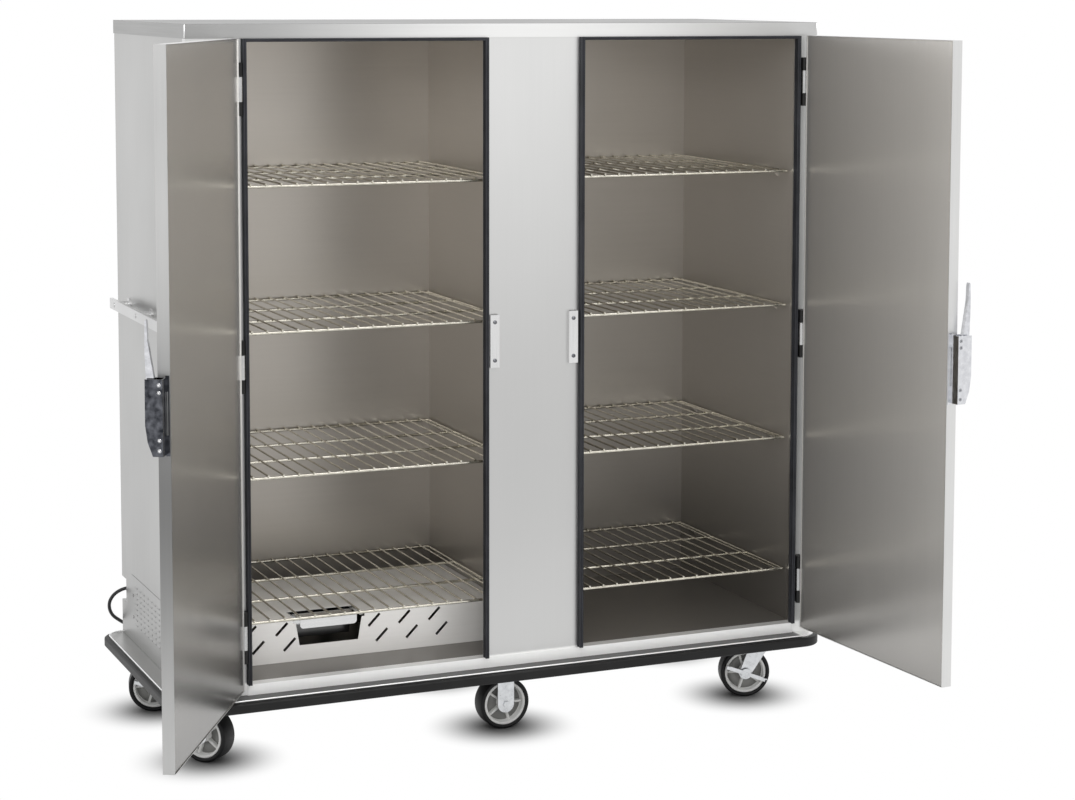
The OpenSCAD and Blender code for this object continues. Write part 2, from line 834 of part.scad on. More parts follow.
// A folded sheet with a window for the pan, and two runners for the pan's flanges
module heater_cover() {
    fill_mouth = 16;
    half = window_w / 2;
    low_half = window_low_w / 2;
    runner_x = pan_w / 2 + pan_flange + runner_gap;
    steel("#C9C7C4") {
        difference() {
            union() {
                translate([cover_x, cover_front, cover_low]) cube([cover_w, cover_t, cover_h]);
                translate([cover_x, cover_front, cover_top - cover_t])
                    cube([cover_w, cover_d, cover_t]);
                translate([cover_x, cover_front + cover_d - cover_t, cover_low])
                    cube([cover_w, cover_t, cover_h]);
            }
            translate([window_mid, 0, 0])
                along_y(cover_front - cut, cover_front + cover_t + cut)
                    polygon([[-half, cover_top + cut], [half, cover_top + cut],
                        [low_half, window_low], [-low_half, window_low]]);
            translate([window_mid - half - ear_w, cover_front - cut, cover_top - ear_h])
                cube([window_w + 2 * ear_w, cover_t + 2 * cut, ear_h + cut]);
            translate([window_mid - half, cover_front - cut, cover_top - cover_t - cut])
                cube([window_w, pan_front + fill_mouth - cover_front + cut, cover_t + 2 * cut]);
            cover_slots(0, upper_slots_z);
            cover_slots(lower_slots_right, lower_slots_z);
            for (k = [0:5]) {
                translate([cover_x + 80 + k * 105, cover_front + cover_d - cover_t - cut, cover_low + 30])
                    cube([60, cover_t + 2 * cut, 50]);
            }
        }
        for (side = [-1, 1]) {
            translate([window_mid, 0, 0]) mirror([side < 0 ? 1 : 0, 0, 0])
                along_y(cover_front + cover_t + 8, pan_front + pan_d) {
                    translate([runner_x, pan_top - runner_t - lay_gap - pan_t])
                        square([runner_t, cover_top - pan_top + runner_t + lay_gap + pan_t - join]);
                    translate([runner_x - pan_flange + 2, pan_top - runner_t - lay_gap - pan_t])
                        square([pan_flange - 1, runner_t]);
                }
        }
    }
}

// A sheet pan with sloping sides, hung by its flanges, with a bent lip to pull it by
module humidity_pan() {
    lip_w = 147;
    lip_h = 22;
    lip_y = cover_front + 2;
    steel("#C4C4C4")
        translate([window_mid, 0, 0]) {
            difference() {
                along_y(pan_front, pan_front + pan_d) pan_section(0);
                along_y(pan_front + pan_t, pan_front + pan_d - pan_t) pan_section(pan_t);
            }
            for (x = [-pan_w / 2 - pan_flange, pan_w / 2 - pan_t]) {
                translate([x, pan_front, pan_top - pan_t])
                    cube([pan_flange + pan_t, pan_d, pan_t]);
            }
            translate([-lip_w / 2, lip_y, pan_top - pan_t])
                cube([lip_w, pan_front - lip_y + join, pan_t]);
            along_y(lip_y, lip_y + pan_t)
                round_rect(-lip_w / 2, pan_top - lip_h, lip_w / 2, pan_top, 9);
            translate([-lip_w / 2, lip_y, pan_top - 10]) cube([lip_w, pan_t, 10]);
        }
}

// A tube bent to and fro, on feet
module heating_element() {
    pitch = 40;
    runs = 6;
    first_run = 45;
    foot_in = 30;
    bend = pitch / 2 + element_d / 2;
    x0 = cover_x + bend + 6;
    x1 = window_x - bend - 16;
    x2 = window_x + window_w + bend + 16;
    x3 = blower_x - housing_half - bend - 8;
    z = floor_z + cover_h / 2 + 7;
    y0 = cover_front + first_run;
    r = element_d / 2;
    color("#6A6258") place()
        for (span = [[x0, x1], [x2, x3]]) {
            for (k = [0:runs - 1]) {
                translate([span[0], y0 + k * pitch, z])
                    rotate([0, 90, 0]) cylinder(h = span[1] - span[0], r = r, $fn = 24);
            }
            for (k = [0:runs - 2]) {
                right = k % 2 == 0;
                translate([right ? span[1] : span[0], y0 + (k + 0.5) * pitch, z])
                    rotate([0, 0, right ? -90 : 90])
                        rotate_extrude(angle = 180, $fn = 48)
                            translate([pitch / 2, 0]) circle(r = r, $fn = 24);
            }
            for (k = [1, runs - 2]) {
                translate([span[0] + foot_in, y0 + k * pitch - 6, floor_z + lay_gap])
                    cube([3, 12, z - floor_z]);
                translate([span[1] - foot_in, y0 + k * pitch - 6, floor_z + lay_gap])
                    cube([3, 12, z - floor_z]);
            }
        }
}

blower_x = left_open_x + comp_w - 95;
blower_y = cover_front + 150;
wheel_low = floor_z + 43;
blower_h = 38;
housing_half = blower_r + 12;
shaft_r = 4;

// A flat motor under the wheel, on a foot plate that carries the inlet plate on four posts
module blower_motor() {
    foot_t = 3;
    inlet_z = floor_z + cover_h - 9;
    color("#55585C") place() {
        translate([blower_x - housing_half, blower_y - housing_half, floor_z + lay_gap])
            cube([2 * housing_half, 2 * housing_half, foot_t]);
        translate([blower_x, blower_y, floor_z + 2]) cylinder(h = 34, r = 34);
        translate([blower_x, blower_y, floor_z + 2])
            cylinder(h = wheel_low + blower_h - 4 - floor_z, r = shaft_r);
        for (x = [-1, 1], y = [-1, 1]) {
            translate([blower_x + x * (housing_half - 4) - 3,
                blower_y + y * (housing_half - 4) - 3, floor_z + 2])
                cube([6, 6, inlet_z - floor_z]);
        }
        difference() {
            translate([blower_x - housing_half, blower_y - housing_half, inlet_z])
                cube([2 * housing_half, 2 * housing_half, foot_t]);
            translate([blower_x, blower_y, floor_z]) cylinder(h = 2 * cover_h, r = blower_r - 10);
        }
    }
}

module blower_wheel() {
    blades = 16;
    h = blower_h;
    color("#9A9C9E") place()
        translate([blower_x, blower_y, wheel_low])
            difference() {
                union() {
                    cylinder(h = 2, r = blower_r);
                    cylinder(h = 16, r = 9);
                    difference() {
                        translate([0, 0, h - 2]) cylinder(h = 2, r = blower_r);
                        translate([0, 0, h - 3]) cylinder(h = 4, r = blower_r - 12);
                    }
                    for (k = [0:blades - 1]) {
                        rotate([0, 0, k * 360 / blades])
                            translate([blower_r - 11, 0, 1])
                                rotate([0, 0, 30])
                                    translate([0, -0.6, 0])
                                        cube([10, 1.2, h - 2]);
                    }
                }
                translate([0, 0, -cut]) cylinder(h = h, r = shaft_r + fit_gap);
            }
}

// Controls on the left side, low at the front

panel_y = 80;
panel_w = 130;
panel_z = 245;
panel_h = 90;
panel_t = 3;
panel_face = -sheet_t - lay_gap - panel_t;
knob_y = panel_y + 40;
switch_y = panel_y + 95;
control_z = panel_z + panel_h / 2;
knob_shaft = 3;
switch_w = 14;
switch_h = 24;

module control_panel() {
    steel("#D0D0D0") {
        difference() {
            translate([panel_face, panel_y, panel_z]) cube([panel_t, panel_w, panel_h]);
            translate([panel_face - cut, switch_y - switch_w / 2 - lay_gap,
                control_z - switch_h / 2 - lay_gap])
                cube([panel_t + 2 * cut, switch_w + 2 * lay_gap, switch_h + 2 * lay_gap]);
        }
        translate([panel_face - 12, knob_y, control_z])
            rotate([0, 90, 0]) cylinder(h = 14, r = knob_shaft);
        for (y = [panel_y + 6, panel_y + panel_w - 6], z = [panel_z + 6, panel_z + panel_h - 6]) {
            translate([panel_face - 1.5, y, z]) rotate([0, 90, 0]) cylinder(h = 2.5, r = 3);
        }
        translate([panel_face - 2.5, switch_y, control_z + switch_h / 2 + 14])
            rotate([0, 90, 0]) cylinder(h = 3.5, r = 5);
    }
}

module thermostat_knob() {
    color("#26262A") place()
        translate([panel_face - lay_gap, knob_y, control_z])
            rotate([0, -90, 0])
                difference() {
                    union() {
                        cylinder(h = 4, r = 19);
                        cylinder(h = 17, r1 = 15, r2 = 13.5);
                        translate([-2, -15.5, 0]) cube([4, 31, 18.5]);
                    }
                    translate([0, 0, -cut]) cylinder(h = 13.5, r = knob_shaft + fit_gap);
                }
}

// A rocker that tips about a line across its middle
module power_switch() {
    rest_tilt = 8;
    half = switch_h / 2 - 1;
    color("#1E1E20") place()
        translate([panel_face, 0, control_z])
            rotate([0, rest_tilt, 0])
                along_y(switch_y - switch_w / 2, switch_y + switch_w / 2) {
                    polygon([[0.5, -half + 0.5], [0.5, half - 0.5], [-3, half], [-1.8, 0], [-3, -half]]);
                    circle(1.6);
                }
}

// Cord, coil and plug

cord_r = cord_d / 2;
cord_sink = cord_d / 10;
cord_lie = cord_r - cord_sink;

module cord_gland() {
    color("#202022") place()
        translate([recess_x, gland_y, gland_z])
            rotate([0, -90, 0]) {
                cylinder(h = 5, r = 13, $fn = 6);
                cylinder(h = 10, r = 9);
                translate([0, 0, 9]) cylinder(h = gland_len - 9, r1 = 8.5, r2 = cord_r + 1);
            }
}

// Hand-chosen points of the cord from the gland to the coil, in the body's own place
cord_route = [
    [46, 680, 310], [30, 680, 310], [9, 681, 309], [-10, 685, 303], [-25, 693, 290],
    [-33, 704, 270], [-30, 717, 247], [-18, 731, 226], [2, 745, 208], [26, 758, 190],
    [52, 769, 168], [78, 778, 142], [103, 786, 112], [128, 794, 80], [154, 803, 49],
    [182, 814, 23], [214, 827, 8], [250, 837, 3.6], [280, 842, 3.6], [300, 843, 3.6]
];

function unit(v) = v / norm(v);
function spline(a, b, c, d, t) =
    0.5 * (2 * b + (c - a) * t + (2 * a - 5 * b + 4 * c - d) * t * t
        + (3 * b - a - 3 * c + d) * t * t * t);
function spline_points(p, steps) = let (n = len(p)) concat(
    [for (i = [0:n - 2], s = [0:steps - 1])
        let (a = i == 0 ? 2 * p[0] - p[1] : p[i - 1], d = i == n - 2 ? 2 * p[n - 1] - p[n - 2] : p[i + 2])
            spline(a, p[i], p[i + 1], d, s / steps)],
    [p[n - 1]]);
function heading(p, i) =
    unit(i == 0 ? p[1] - p[0] : i == len(p) - 1 ? p[i] - p[i - 1] : p[i + 1] - p[i - 1]);
function ring(p, i, r, sides) =
    let (t = heading(p, i), side = unit(cross(t, [0, 0, 1])), up = cross(side, t))
        [for (k = [0:sides - 1])
            let (a = 360 * (k + 0.5) / sides, q = p[i] + r * (cos(a) * side + sin(a) * up))
                [q.x, q.y, max(q.z, 0)]];

// A closed tube along a list of points
module tube(p, r, sides) {
    n = len(p);
    points = [for (i = [0:n - 1]) each ring(p, i, r, sides)];
    walls = [for (i = [0:n - 2], k = [0:sides - 1])
        let (a = i * sides + k, b = i * sides + (k + 1) % sides)
            each [[a, a + sides, b], [b, a + sides, b + sides]]];
    caps = [
        for (k = [1:sides - 2]) [0, k, k + 1],
        for (k = [1:sides - 2]) [(n - 1) * sides, (n - 1) * sides + k + 1, (n - 1) * sides + k]
    ];
    polyhedron(points, concat(walls, caps));
}

module power_cord() {
    color("#1B1B1D") place() tube(spline_points(cord_route, 2), cord_r, 8);
}

// The coil winds in on the floor, climbs a layer and winds out again
coil_turns = 7.25;
coil_step = cord_d + 0.9;
coil_in = 34;
coil_rings = 24;
coil_tail = 56;
coil_half = coil_turns / 2;
coil_start = cord_route[len(cord_route) - 1];
coil_mid = [coil_start.x + cord_d, coil_start.y + coil_in + coil_step * coil_half, 0];
function coil_radius(t) = coil_in + coil_step * abs(t - coil_half);
function coil_height(t) =
    cord_lie + coil_step * max(0, min(1, (t - coil_half + 0.25) * 2));
function coil_point(t) =
    let (a = -90 + 360 * t, r = coil_radius(t))
        [coil_mid.x + r * cos(a), coil_mid.y + r * sin(a), coil_height(t)];
coil_count = round(coil_turns * coil_rings);
coil_turned = [for (i = [0:coil_count]) coil_point(i * coil_turns / coil_count)];
coil_last = coil_turned[coil_count];
coil_end_dir = [cos(360 * coil_turns), sin(360 * coil_turns), 0];
coil_end = coil_last + coil_tail * coil_end_dir;
coil_path = concat([coil_turned[0] - [cord_d, 0, 0]], coil_turned,
    [coil_last + coil_tail / 2 * coil_end_dir, coil_end]);
coil_gap = min([for (i = [1:coil_count - 8])
    min([for (j = [i + 8:coil_count + 2]) norm(coil_path[i] - coil_path[j])])]) - cord_d;

module cord_coil() {
    echo(coil_gap = coil_gap);
    color("#1B1B1D") place() tube(coil_path, cord_r, 6);
}

module plug() {
    body_l = 34;
    prong_l = 18;
    flat_r = coil_end.z;
    color("#1B1B1D") place()
        translate(coil_end)
            rotate([0, 0, 360 * coil_turns]) rotate([0, 90, 0]) {
                cylinder(h = 14, r1 = cord_r + 1, r2 = 8);
                translate([0, 0, 13]) cylinder(h = body_l, r = flat_r);
                for (y = [-6.35, 6.35]) {
                    translate([-3, y - 0.8, 13 + body_l - join]) cube([6.3, 1.6, prong_l + join]);
                }
                translate([6, 0, 13 + body_l - join]) cylinder(h = prong_l + 2, r = 2.4);
            }
}

// Casters

module caster_plate(x, y) {
    plate_x = 92;
    plate_y = 76;
    translate([x - plate_x / 2, y - plate_y / 2, caster_h - plate_t]) cube([plate_x, plate_y, plate_t]);
    for (dx = [-34, 34], dy = [-27, 27]) {
        translate([x + dx, y + dy, caster_h - plate_t - 5]) cylinder(h = 6, r = 6, $fn = 6);
    }
}

module caster_plates() {
    steel("#C2C4C6") {
        for (s = caster_spots) {
            caster_plate(s.x, s.y);
            translate([s.x, s.y, race_z]) cylinder(h = race_h + join, r = 25);
            translate([s.x, s.y, yoke_z - lay_gap - 5]) cylinder(h = race_z - yoke_z + 6, r = king_r);
            translate([s.x, s.y, yoke_z - lay_gap - 6]) cylinder(h = 6, r = 10);
        }
        for (s = rigid_spots) {
            caster_plate(s.x, s.y);
        }
    }
}

// The two legs, the axle and its nuts, with the wheel's centre at offset along X
module fork_legs(offset, top_z, top_half, boss) {
    for (side = [-1, 1]) {
        y0 = side > 0 ? fork_gap / 2 : -fork_gap / 2 - leg_t;
        along_y(y0, y0 + leg_t) {
            polygon([[-top_half, top_z], [top_half, top_z], [offset + boss, wheel_r],
                [offset - boss, wheel_r]]);
            translate([offset, wheel_r]) circle(boss);
        }
        translate([offset, side * (fork_gap / 2 + leg_t - join), wheel_r])
            rotate([-90 * side, 0, 0]) cylinder(h = nut_t + join, r = 8, $fn = 6);
    }
    translate([offset, -fork_gap / 2 - leg_t, wheel_r])
        rotate([-90, 0, 0]) cylinder(h = fork_gap + 2 * leg_t, r = axle_r);
}

module swivel_fork(k, braked) {
    s = caster_spots[k];
    steel("#C6C8CA")
        translate([s.x, s.y, 0])
            rotate([0, 0, s.z]) {
                fork_legs(trail, yoke_z + join, 27, 17);
                if (braked) {
                    translate([trail, fork_gap / 2 + leg_t + nut_t - join, wheel_r])
                        rotate([-90, 0, 0]) cylinder(h = join + lay_gap + brake_t + 2, r = stud_r);
                }
                difference() {
                    translate([-27, -fork_gap / 2 - leg_t, yoke_z])
                        cube([54, fork_gap + 2 * leg_t, yoke_t]);
                    translate([0, 0, yoke_z - cut])
                        cylinder(h = yoke_t + 2 * cut, r = king_r + fit_gap);
                }
            }
}

module front_left_fork() { swivel_fork(0, false); }
module front_right_fork() { swivel_fork(1, true); }
module rear_left_fork() { swivel_fork(2, true); }
module rear_right_fork() { swivel_fork(3, false); }

module rigid_forks() {
    top = caster_h - plate_t - lay_gap;
    half = 22;
    steel("#C6C8CA")
        for (s = rigid_spots) {
            translate([s.x, s.y, 0]) {
                fork_legs(0, top - join, half, half);
                translate([-half, -fork_gap / 2 - leg_t, top - leg_t])
                    cube([2 * half, fork_gap + 2 * leg_t, leg_t]);
            }
        }
}

// A spoked hub with a tyre around it, turning about Y
module wheel_form() {
    hub_half = wheel_w / 2 - 2.5;
    rim_out = wheel_r - 11;
    rim_in = rim_out - 6;
    shoulder = 4;
    half = wheel_w / 2;
    rotate([90, 0, 0])
        difference() {
            union() {
                rotate_extrude($fn = 96)
                    polygon([[rim_out - 1, -half + 3], [wheel_r - shoulder, -half], [wheel_r - 1, -half + shoulder],
                        [wheel_r, -half + 9], [wheel_r, half - 9], [wheel_r - 1, half - shoulder],
                        [wheel_r - shoulder, half], [rim_out - 1, half - 3]]);
                rotate_extrude($fn = 96)
                    translate([rim_in, -hub_half]) square([rim_out - rim_in, 2 * hub_half]);
                translate([0, 0, -hub_half - 1]) cylinder(h = 2 * hub_half + 2, r = 15);
                difference() {
                    translate([0, 0, -4]) cylinder(h = 8, r = rim_in + join);
                    for (k = [0:4]) {
                        rotate([0, 0, 72 * k + 36])
                            translate([0, 0, -6])
                                linear_extrude(12)
                                    polygon([[21, -8], [40, -20], [42, 0], [40, 20], [21, 8]]);
                    }
                }
                for (k = [0:4]) {
                    rotate([0, 0, 72 * k]) translate([12, -3, -12]) cube([rim_in - 11, 6, 24]);
                }
            }
            translate([0, 0, -wheel_w]) cylinder(h = 2 * wheel_w, r = axle_r + fit_gap);
        }
}

module swivel_wheel(k) {
    s = caster_spots[k];
    color("#3A3A3C") place()
        translate([s.x, s.y, wheel_r]) rotate([0, 0, s.z]) translate([trail, 0, 0]) wheel_form();
}

module rigid_wheel(k) {
    s = rigid_spots[k];
    color("#3A3A3C") place() translate([s.x, s.y, wheel_r]) wheel_form();
}

module front_left_wheel() { swivel_wheel(0); }
module front_right_wheel() { swivel_wheel(1); }
module rear_left_wheel() { swivel_wheel(2); }
module rear_right_wheel() { swivel_wheel(3); }
module middle_front_wheel() { rigid_wheel(0); }
module middle_rear_wheel() { rigid_wheel(1); }

// A rocking lever on a stud at the axle's end, with a foot pad at each end
module brake(k) {
    s = caster_spots[k];
    half = 55;
    pad_l = 9;
    pad_w = 12;
    steel("#D4D6D8")
        translate([s.x, s.y, wheel_r])
            rotate([0, 0, s.z])
                translate([trail, fork_gap / 2 + leg_t + nut_t + lay_gap, 0])
                    rotate([0, -20, 0])
                        difference() {
                            union() {
                                translate([-half, 0, -5]) cube([2 * half, brake_t, 10]);
                                rotate([-90, 0, 0]) cylinder(h = brake_t, r = 13);
                                translate([half - pad_l + 2, 0, 3]) cube([pad_l, pad_w, 2.5]);
                                translate([-half - 2, 0, 3]) cube([pad_l, pad_w, 2.5]);
                            }
                            rotate([-90, 0, 0])
                                translate([0, 0, -cut]) cylinder(h = brake_t + 2 * cut, r = stud_r + fit_gap);
                        }
}

module front_right_brake() { brake(1); }
module rear_left_brake() { brake(2); }

base_frame();
bumper();
left_side_panel();
right_side_panel();
back_panel();
top_panel();
front_frame();
center_mullion();
access_panel();
left_liner();
right_liner();
left_gasket();
right_gasket();
left_shelf_1();
left_shelf_2();
left_shelf_3();
left_shelf_4();
right_shelf_1();
right_shelf_2();
right_shelf_3();
right_shelf_4();
left_door_shell();
left_door_liner();
right_door_shell();
right_door_liner();
cabinet_hinge_leaves();
left_door_hinge_leaves();
right_door_hinge_leaves();
left_latch_body();
left_latch_lever();
right_latch_body();
right_latch_lever();
latch_strikes();
push_handle();
heater_cover();
humidity_pan();
heating_element();
blower_wheel();
blower_motor();
control_panel();
thermostat_knob();
power_switch();
cord_gland();
power_cord();
cord_coil();
plug();
caster_plates();
front_left_fork();
front_right_fork();
rear_left_fork();
rear_right_fork();
rigid_forks();
front_left_wheel();
front_right_wheel();
middle_front_wheel();
middle_rear_wheel();
rear_left_wheel();
rear_right_wheel();
front_right_brake();
rear_left_brake();
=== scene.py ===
"""Heated banquet cabinet: finishes, finer pieces, studio and camera, all in metres."""

import math

import bpy
import numpy as np
from mathutils import Matrix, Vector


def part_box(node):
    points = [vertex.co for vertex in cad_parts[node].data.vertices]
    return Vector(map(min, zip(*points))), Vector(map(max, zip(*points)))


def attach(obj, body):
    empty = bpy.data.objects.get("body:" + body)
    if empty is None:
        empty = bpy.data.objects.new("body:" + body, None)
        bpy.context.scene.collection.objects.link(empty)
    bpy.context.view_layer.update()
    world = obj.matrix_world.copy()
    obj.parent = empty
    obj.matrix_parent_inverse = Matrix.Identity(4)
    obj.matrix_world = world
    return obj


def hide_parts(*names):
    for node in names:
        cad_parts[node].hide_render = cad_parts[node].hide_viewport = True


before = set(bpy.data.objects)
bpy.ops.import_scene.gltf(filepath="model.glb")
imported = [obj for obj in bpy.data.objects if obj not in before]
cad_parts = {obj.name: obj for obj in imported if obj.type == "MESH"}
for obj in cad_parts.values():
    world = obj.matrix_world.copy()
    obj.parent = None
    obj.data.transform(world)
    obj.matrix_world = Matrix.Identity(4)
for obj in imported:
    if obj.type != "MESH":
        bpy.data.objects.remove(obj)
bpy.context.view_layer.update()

# The body's size, and its own place: X from its left face, Y from its front, Z from the floor
body_w, body_d = 1.664, 0.7
body_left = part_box("right_side_panel")[1][0] - body_w
body_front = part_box("back_panel")[1][1] - body_d
BODY = np.array([body_left, body_front, 0.0])

# How far each door stands open at rest, in degrees, and the place of its pivot from the body's corner
left_open, right_open = 119.5, 93.5
left_pivot, right_pivot = np.array([0.125, -0.0164, 0]), np.array([1.622, -0.0164, 0])


# Camera

photo_w, photo_h = 1075, 800
focal_px, middle_px = 2463.42, (586.46, 224.48)
camera_turn = (24.02, 5.49, -0.21)
camera_place = (-1.47191, -5.58508, 1.87663)


def aim_camera():
    """A camera at the photo's place: its three axes come from yaw, pitch and roll by the usual turns."""
    yaw, pitch, roll = np.radians(camera_turn)
    ahead = np.array([math.sin(yaw) * math.cos(pitch), math.cos(yaw) * math.cos(pitch), -math.sin(pitch)])
    level = np.array([math.cos(yaw), -math.sin(yaw), 0.0])
    down = np.cross(ahead, level)
    right = math.cos(roll) * level + math.sin(roll) * down
    below = -math.sin(roll) * level + math.cos(roll) * down
    turn = np.eye(4)
    turn[:3] = np.column_stack([right, -below, -ahead, BODY + camera_place])
    lens = bpy.data.cameras.new("camera")
    lens.sensor_fit = "HORIZONTAL"
    lens.sensor_width = 36
    lens.lens = focal_px / photo_w * lens.sensor_width
    lens.shift_x = (photo_w / 2 - middle_px[0]) / photo_w
    lens.shift_y = (middle_px[1] - photo_h / 2) / photo_w
    lens.clip_end = 60
    camera = bpy.data.objects.new("camera", lens)
    camera.matrix_world = Matrix(turn.tolist())
    bpy.context.scene.collection.objects.link(camera)
    bpy.context.scene.camera = camera


aim_camera()


# Mesh helpers

def mesh_piece(name, points, faces, material, body, smooth=True):
    """One piece from its points and faces, riding on a body."""
    mesh = bpy.data.meshes.new(name)
    mesh.from_pydata(np.asarray(points).reshape(-1, 3).tolist(), [], faces)
    mesh.validate()
    if smooth:
        mesh.shade_smooth()
    else:
        mesh.shade_flat()
    mesh.materials.append(material)
    piece = bpy.data.objects.new(name, mesh)
    bpy.context.scene.collection.objects.link(piece)
    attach(piece, body)
    return piece


def grid_faces(rows, columns, closed_rows=False, closed_columns=False, start=0):
    """Quads between neighbouring points of a grid, its last row or column joined to the first if closed."""
    i = np.arange(rows if closed_rows else rows - 1)[:, None]
    j = np.arange(columns if closed_columns else columns - 1)[None, :]
    up, across = (i + 1) % rows, (j + 1) % columns
    corners = [i * columns + j, i * columns + across, up * columns + across, up * columns + j]
    quads = np.stack(corners, axis=-1)
    return (quads.reshape(-1, 4) + start).tolist()


def joined(parts):
    """Points and faces of several parts, put one after another."""
    points, faces, count = [], [], 0
    for some_points, some_faces in parts:
        points.append(np.asarray(some_points).reshape(-1, 3))
        faces += [[corner + count for corner in face] for face in some_faces]
        count += len(points[-1])
    return np.vstack(points), faces


def spun(profile, steps=96):
    """Surface of revolution: each profile point (radius, y) is carried round the Y axis."""
    radius, y = np.asarray(profile, float).T
    angle = np.linspace(0, 2 * np.pi, steps, endpoint=False)[:, None]
    along = np.broadcast_to(y, (steps, len(y)))
    points = np.stack([radius * np.cos(angle), along, radius * np.sin(angle)], -1)
    return points.reshape(-1, 3), grid_faces(steps, len(y), closed_rows=True)


def lofted(rings, capped=True):
    """Skin over closed rings of points of equal count, its two ends closed by a flat face."""
    rings = np.asarray(rings, float)
    rows, columns = rings.shape[:2]
    faces = grid_faces(rows, columns, closed_columns=True)
    if capped:
        faces += [list(range(columns))[::-1], list(range((rows - 1) * columns, rows * columns))]
    return rings.reshape(-1, 3), faces


def straight(section, start, end, across, out):
    """A flat section (across, out) drawn along the straight line from start to end."""
    section = np.asarray(section, float)
    flat = section[:, :1] * np.asarray(across, float) + section[:, 1:] * np.asarray(out, float)
    return lofted([flat + np.asarray(start, float), flat + np.asarray(end, float)])


def block(low, high, edge=0.0):
    """A box between two corners, its twelve edges cut back by a flat chamfer of width edge."""
    low, high = np.asarray(low, float), np.asarray(high, float)
    corners = np.array([[i, j, k] for i in (0, 1) for j in (0, 1) for k in (0, 1)], float)
    points = []
    for axis in range(3):
        inset = np.full(3, edge)
        inset[axis] = 0
        points.append(np.where(corners > 0.5, high - inset, low + inset))
    points = np.vstack(points)
    middle = (low + high) / 2
    faces = []
    for axis in range(3):
        for side in (0, 1):
            ring = [axis * 8 + n for n in range(8) if corners[n, axis] == side]
            faces.append([ring[0], ring[1], ring[3], ring[2]])
    for n in range(8):
        faces.append([n, 8 + n, 16 + n])
    for a in range(8):
        for axis in range(3):
            b = a ^ (4 >> axis)
            if a < b:
                one, two = [k for k in range(3) if k != axis]
                faces.append([one * 8 + a, one * 8 + b, two * 8 + b, two * 8 + a])
    for n, face in enumerate(faces):
        p = points[face]
        if np.dot(np.cross(p[1] - p[0], p[2] - p[0]), p.mean(0) - middle) < 0:
            faces[n] = face[::-1]
    return points, faces


def turned(points, angle, centre=(0, 0, 0)):
    """Points turned about the vertical by an angle in degrees, then moved to a centre."""
    c, s = math.cos(math.radians(angle)), math.sin(math.radians(angle))
    return np.asarray(points) @ np.array([[c, s, 0], [-s, c, 0], [0, 0, 1]]) + np.asarray(centre)


# Finishes

def linear(colour):
    """An sRGB hex colour as linear red, green, blue and alpha."""
    c = np.array([int(colour[i:i + 2], 16) for i in (0, 2, 4)]) / 255
    return (*np.where(c <= 0.04045, c / 12.92, ((c + 0.055) / 1.055) ** 2.4).tolist(), 1.0)


def add(material, kind, sockets=None, links=None, **settings):
    """Adds one node to a material: values of its sockets, links into its sockets, and its own settings."""
    node = material.node_tree.nodes.new(kind)
    for name, value in settings.items():
        setattr(node, name, value)
    for name, value in (sockets or {}).items():
        node.inputs[name].default_value = value
    for name, source in (links or {}).items():
        material.node_tree.links.new(source, node.inputs[name])
    return node


def new_finish(name):
    """An empty material."""
    material = bpy.data.materials.new(name)
    material.use_nodes = True
    material.node_tree.nodes.clear()
    return material


def place_mm(material, size_mm):
    """Object coordinates divided by a size in millimetres along each axis."""
    where = add(material, "ShaderNodeTexCoord").outputs["Object"]
    scale = [1000 / s for s in size_mm]
    return add(material, "ShaderNodeMapping", {"Scale": scale}, {"Vector": where}).outputs[0]


def ramp(material, source, low, high, at=(0.3, 0.7)):
    """A colour ramp from one hex colour to another."""
    node = add(material, "ShaderNodeValToRGB", links={"Fac": source})
    node.color_ramp.elements[0].position, node.color_ramp.elements[1].position = at
    node.color_ramp.elements[0].color, node.color_ramp.elements[1].color = linear(low), linear(high)
    return node.outputs["Color"]


def range_of(material, source, low, high):
    """A value from 0.25 to 0.75 mapped to a range."""
    return add(material, "ShaderNodeMapRange",
               {"From Min": 0.25, "From Max": 0.75, "To Min": low, "To Max": high},
               {"Value": source}).outputs[0]


def by_place(material, axis, stops):
    """Grey shades along one axis of the object, from places in metres, with a smooth way between them."""
    where = add(material, "ShaderNodeTexCoord").outputs["Object"]
    along = add(material, "ShaderNodeSeparateXYZ", links={"Vector": where}).outputs[axis]
    first, last = stops[0][0], stops[-1][0]
    share = add(material, "ShaderNodeMapRange", {"From Min": first, "From Max": last},
                {"Value": along}).outputs[0]
    node = add(material, "ShaderNodeValToRGB", links={"Fac": share})
    node.color_ramp.interpolation = "EASE" if len(stops) > 2 else "LINEAR"
    for k, (place, shade) in enumerate(stops):
        at = (place - first) / (last - first)
        stop = node.color_ramp.elements[k] if k < 2 else node.color_ramp.elements.new(at)
        stop.position = at
        stop.color = (shade, shade, shade, 1.0)
    return node.outputs["Color"]


def mixed(material, way, colour, shade):
    """Two colours put together by a named way of blending, such as MULTIPLY, DARKEN or LIGHTEN."""
    return add(material, "ShaderNodeMix", {0: 1.0}, {6: colour, 7: shade}, data_type="RGBA",
               blend_type=way).outputs[2]


def finish_off(material, shader):
    """The shader linked to the material's output."""
    add(material, "ShaderNodeOutputMaterial", links={"Surface": shader.outputs[0]})
    return material


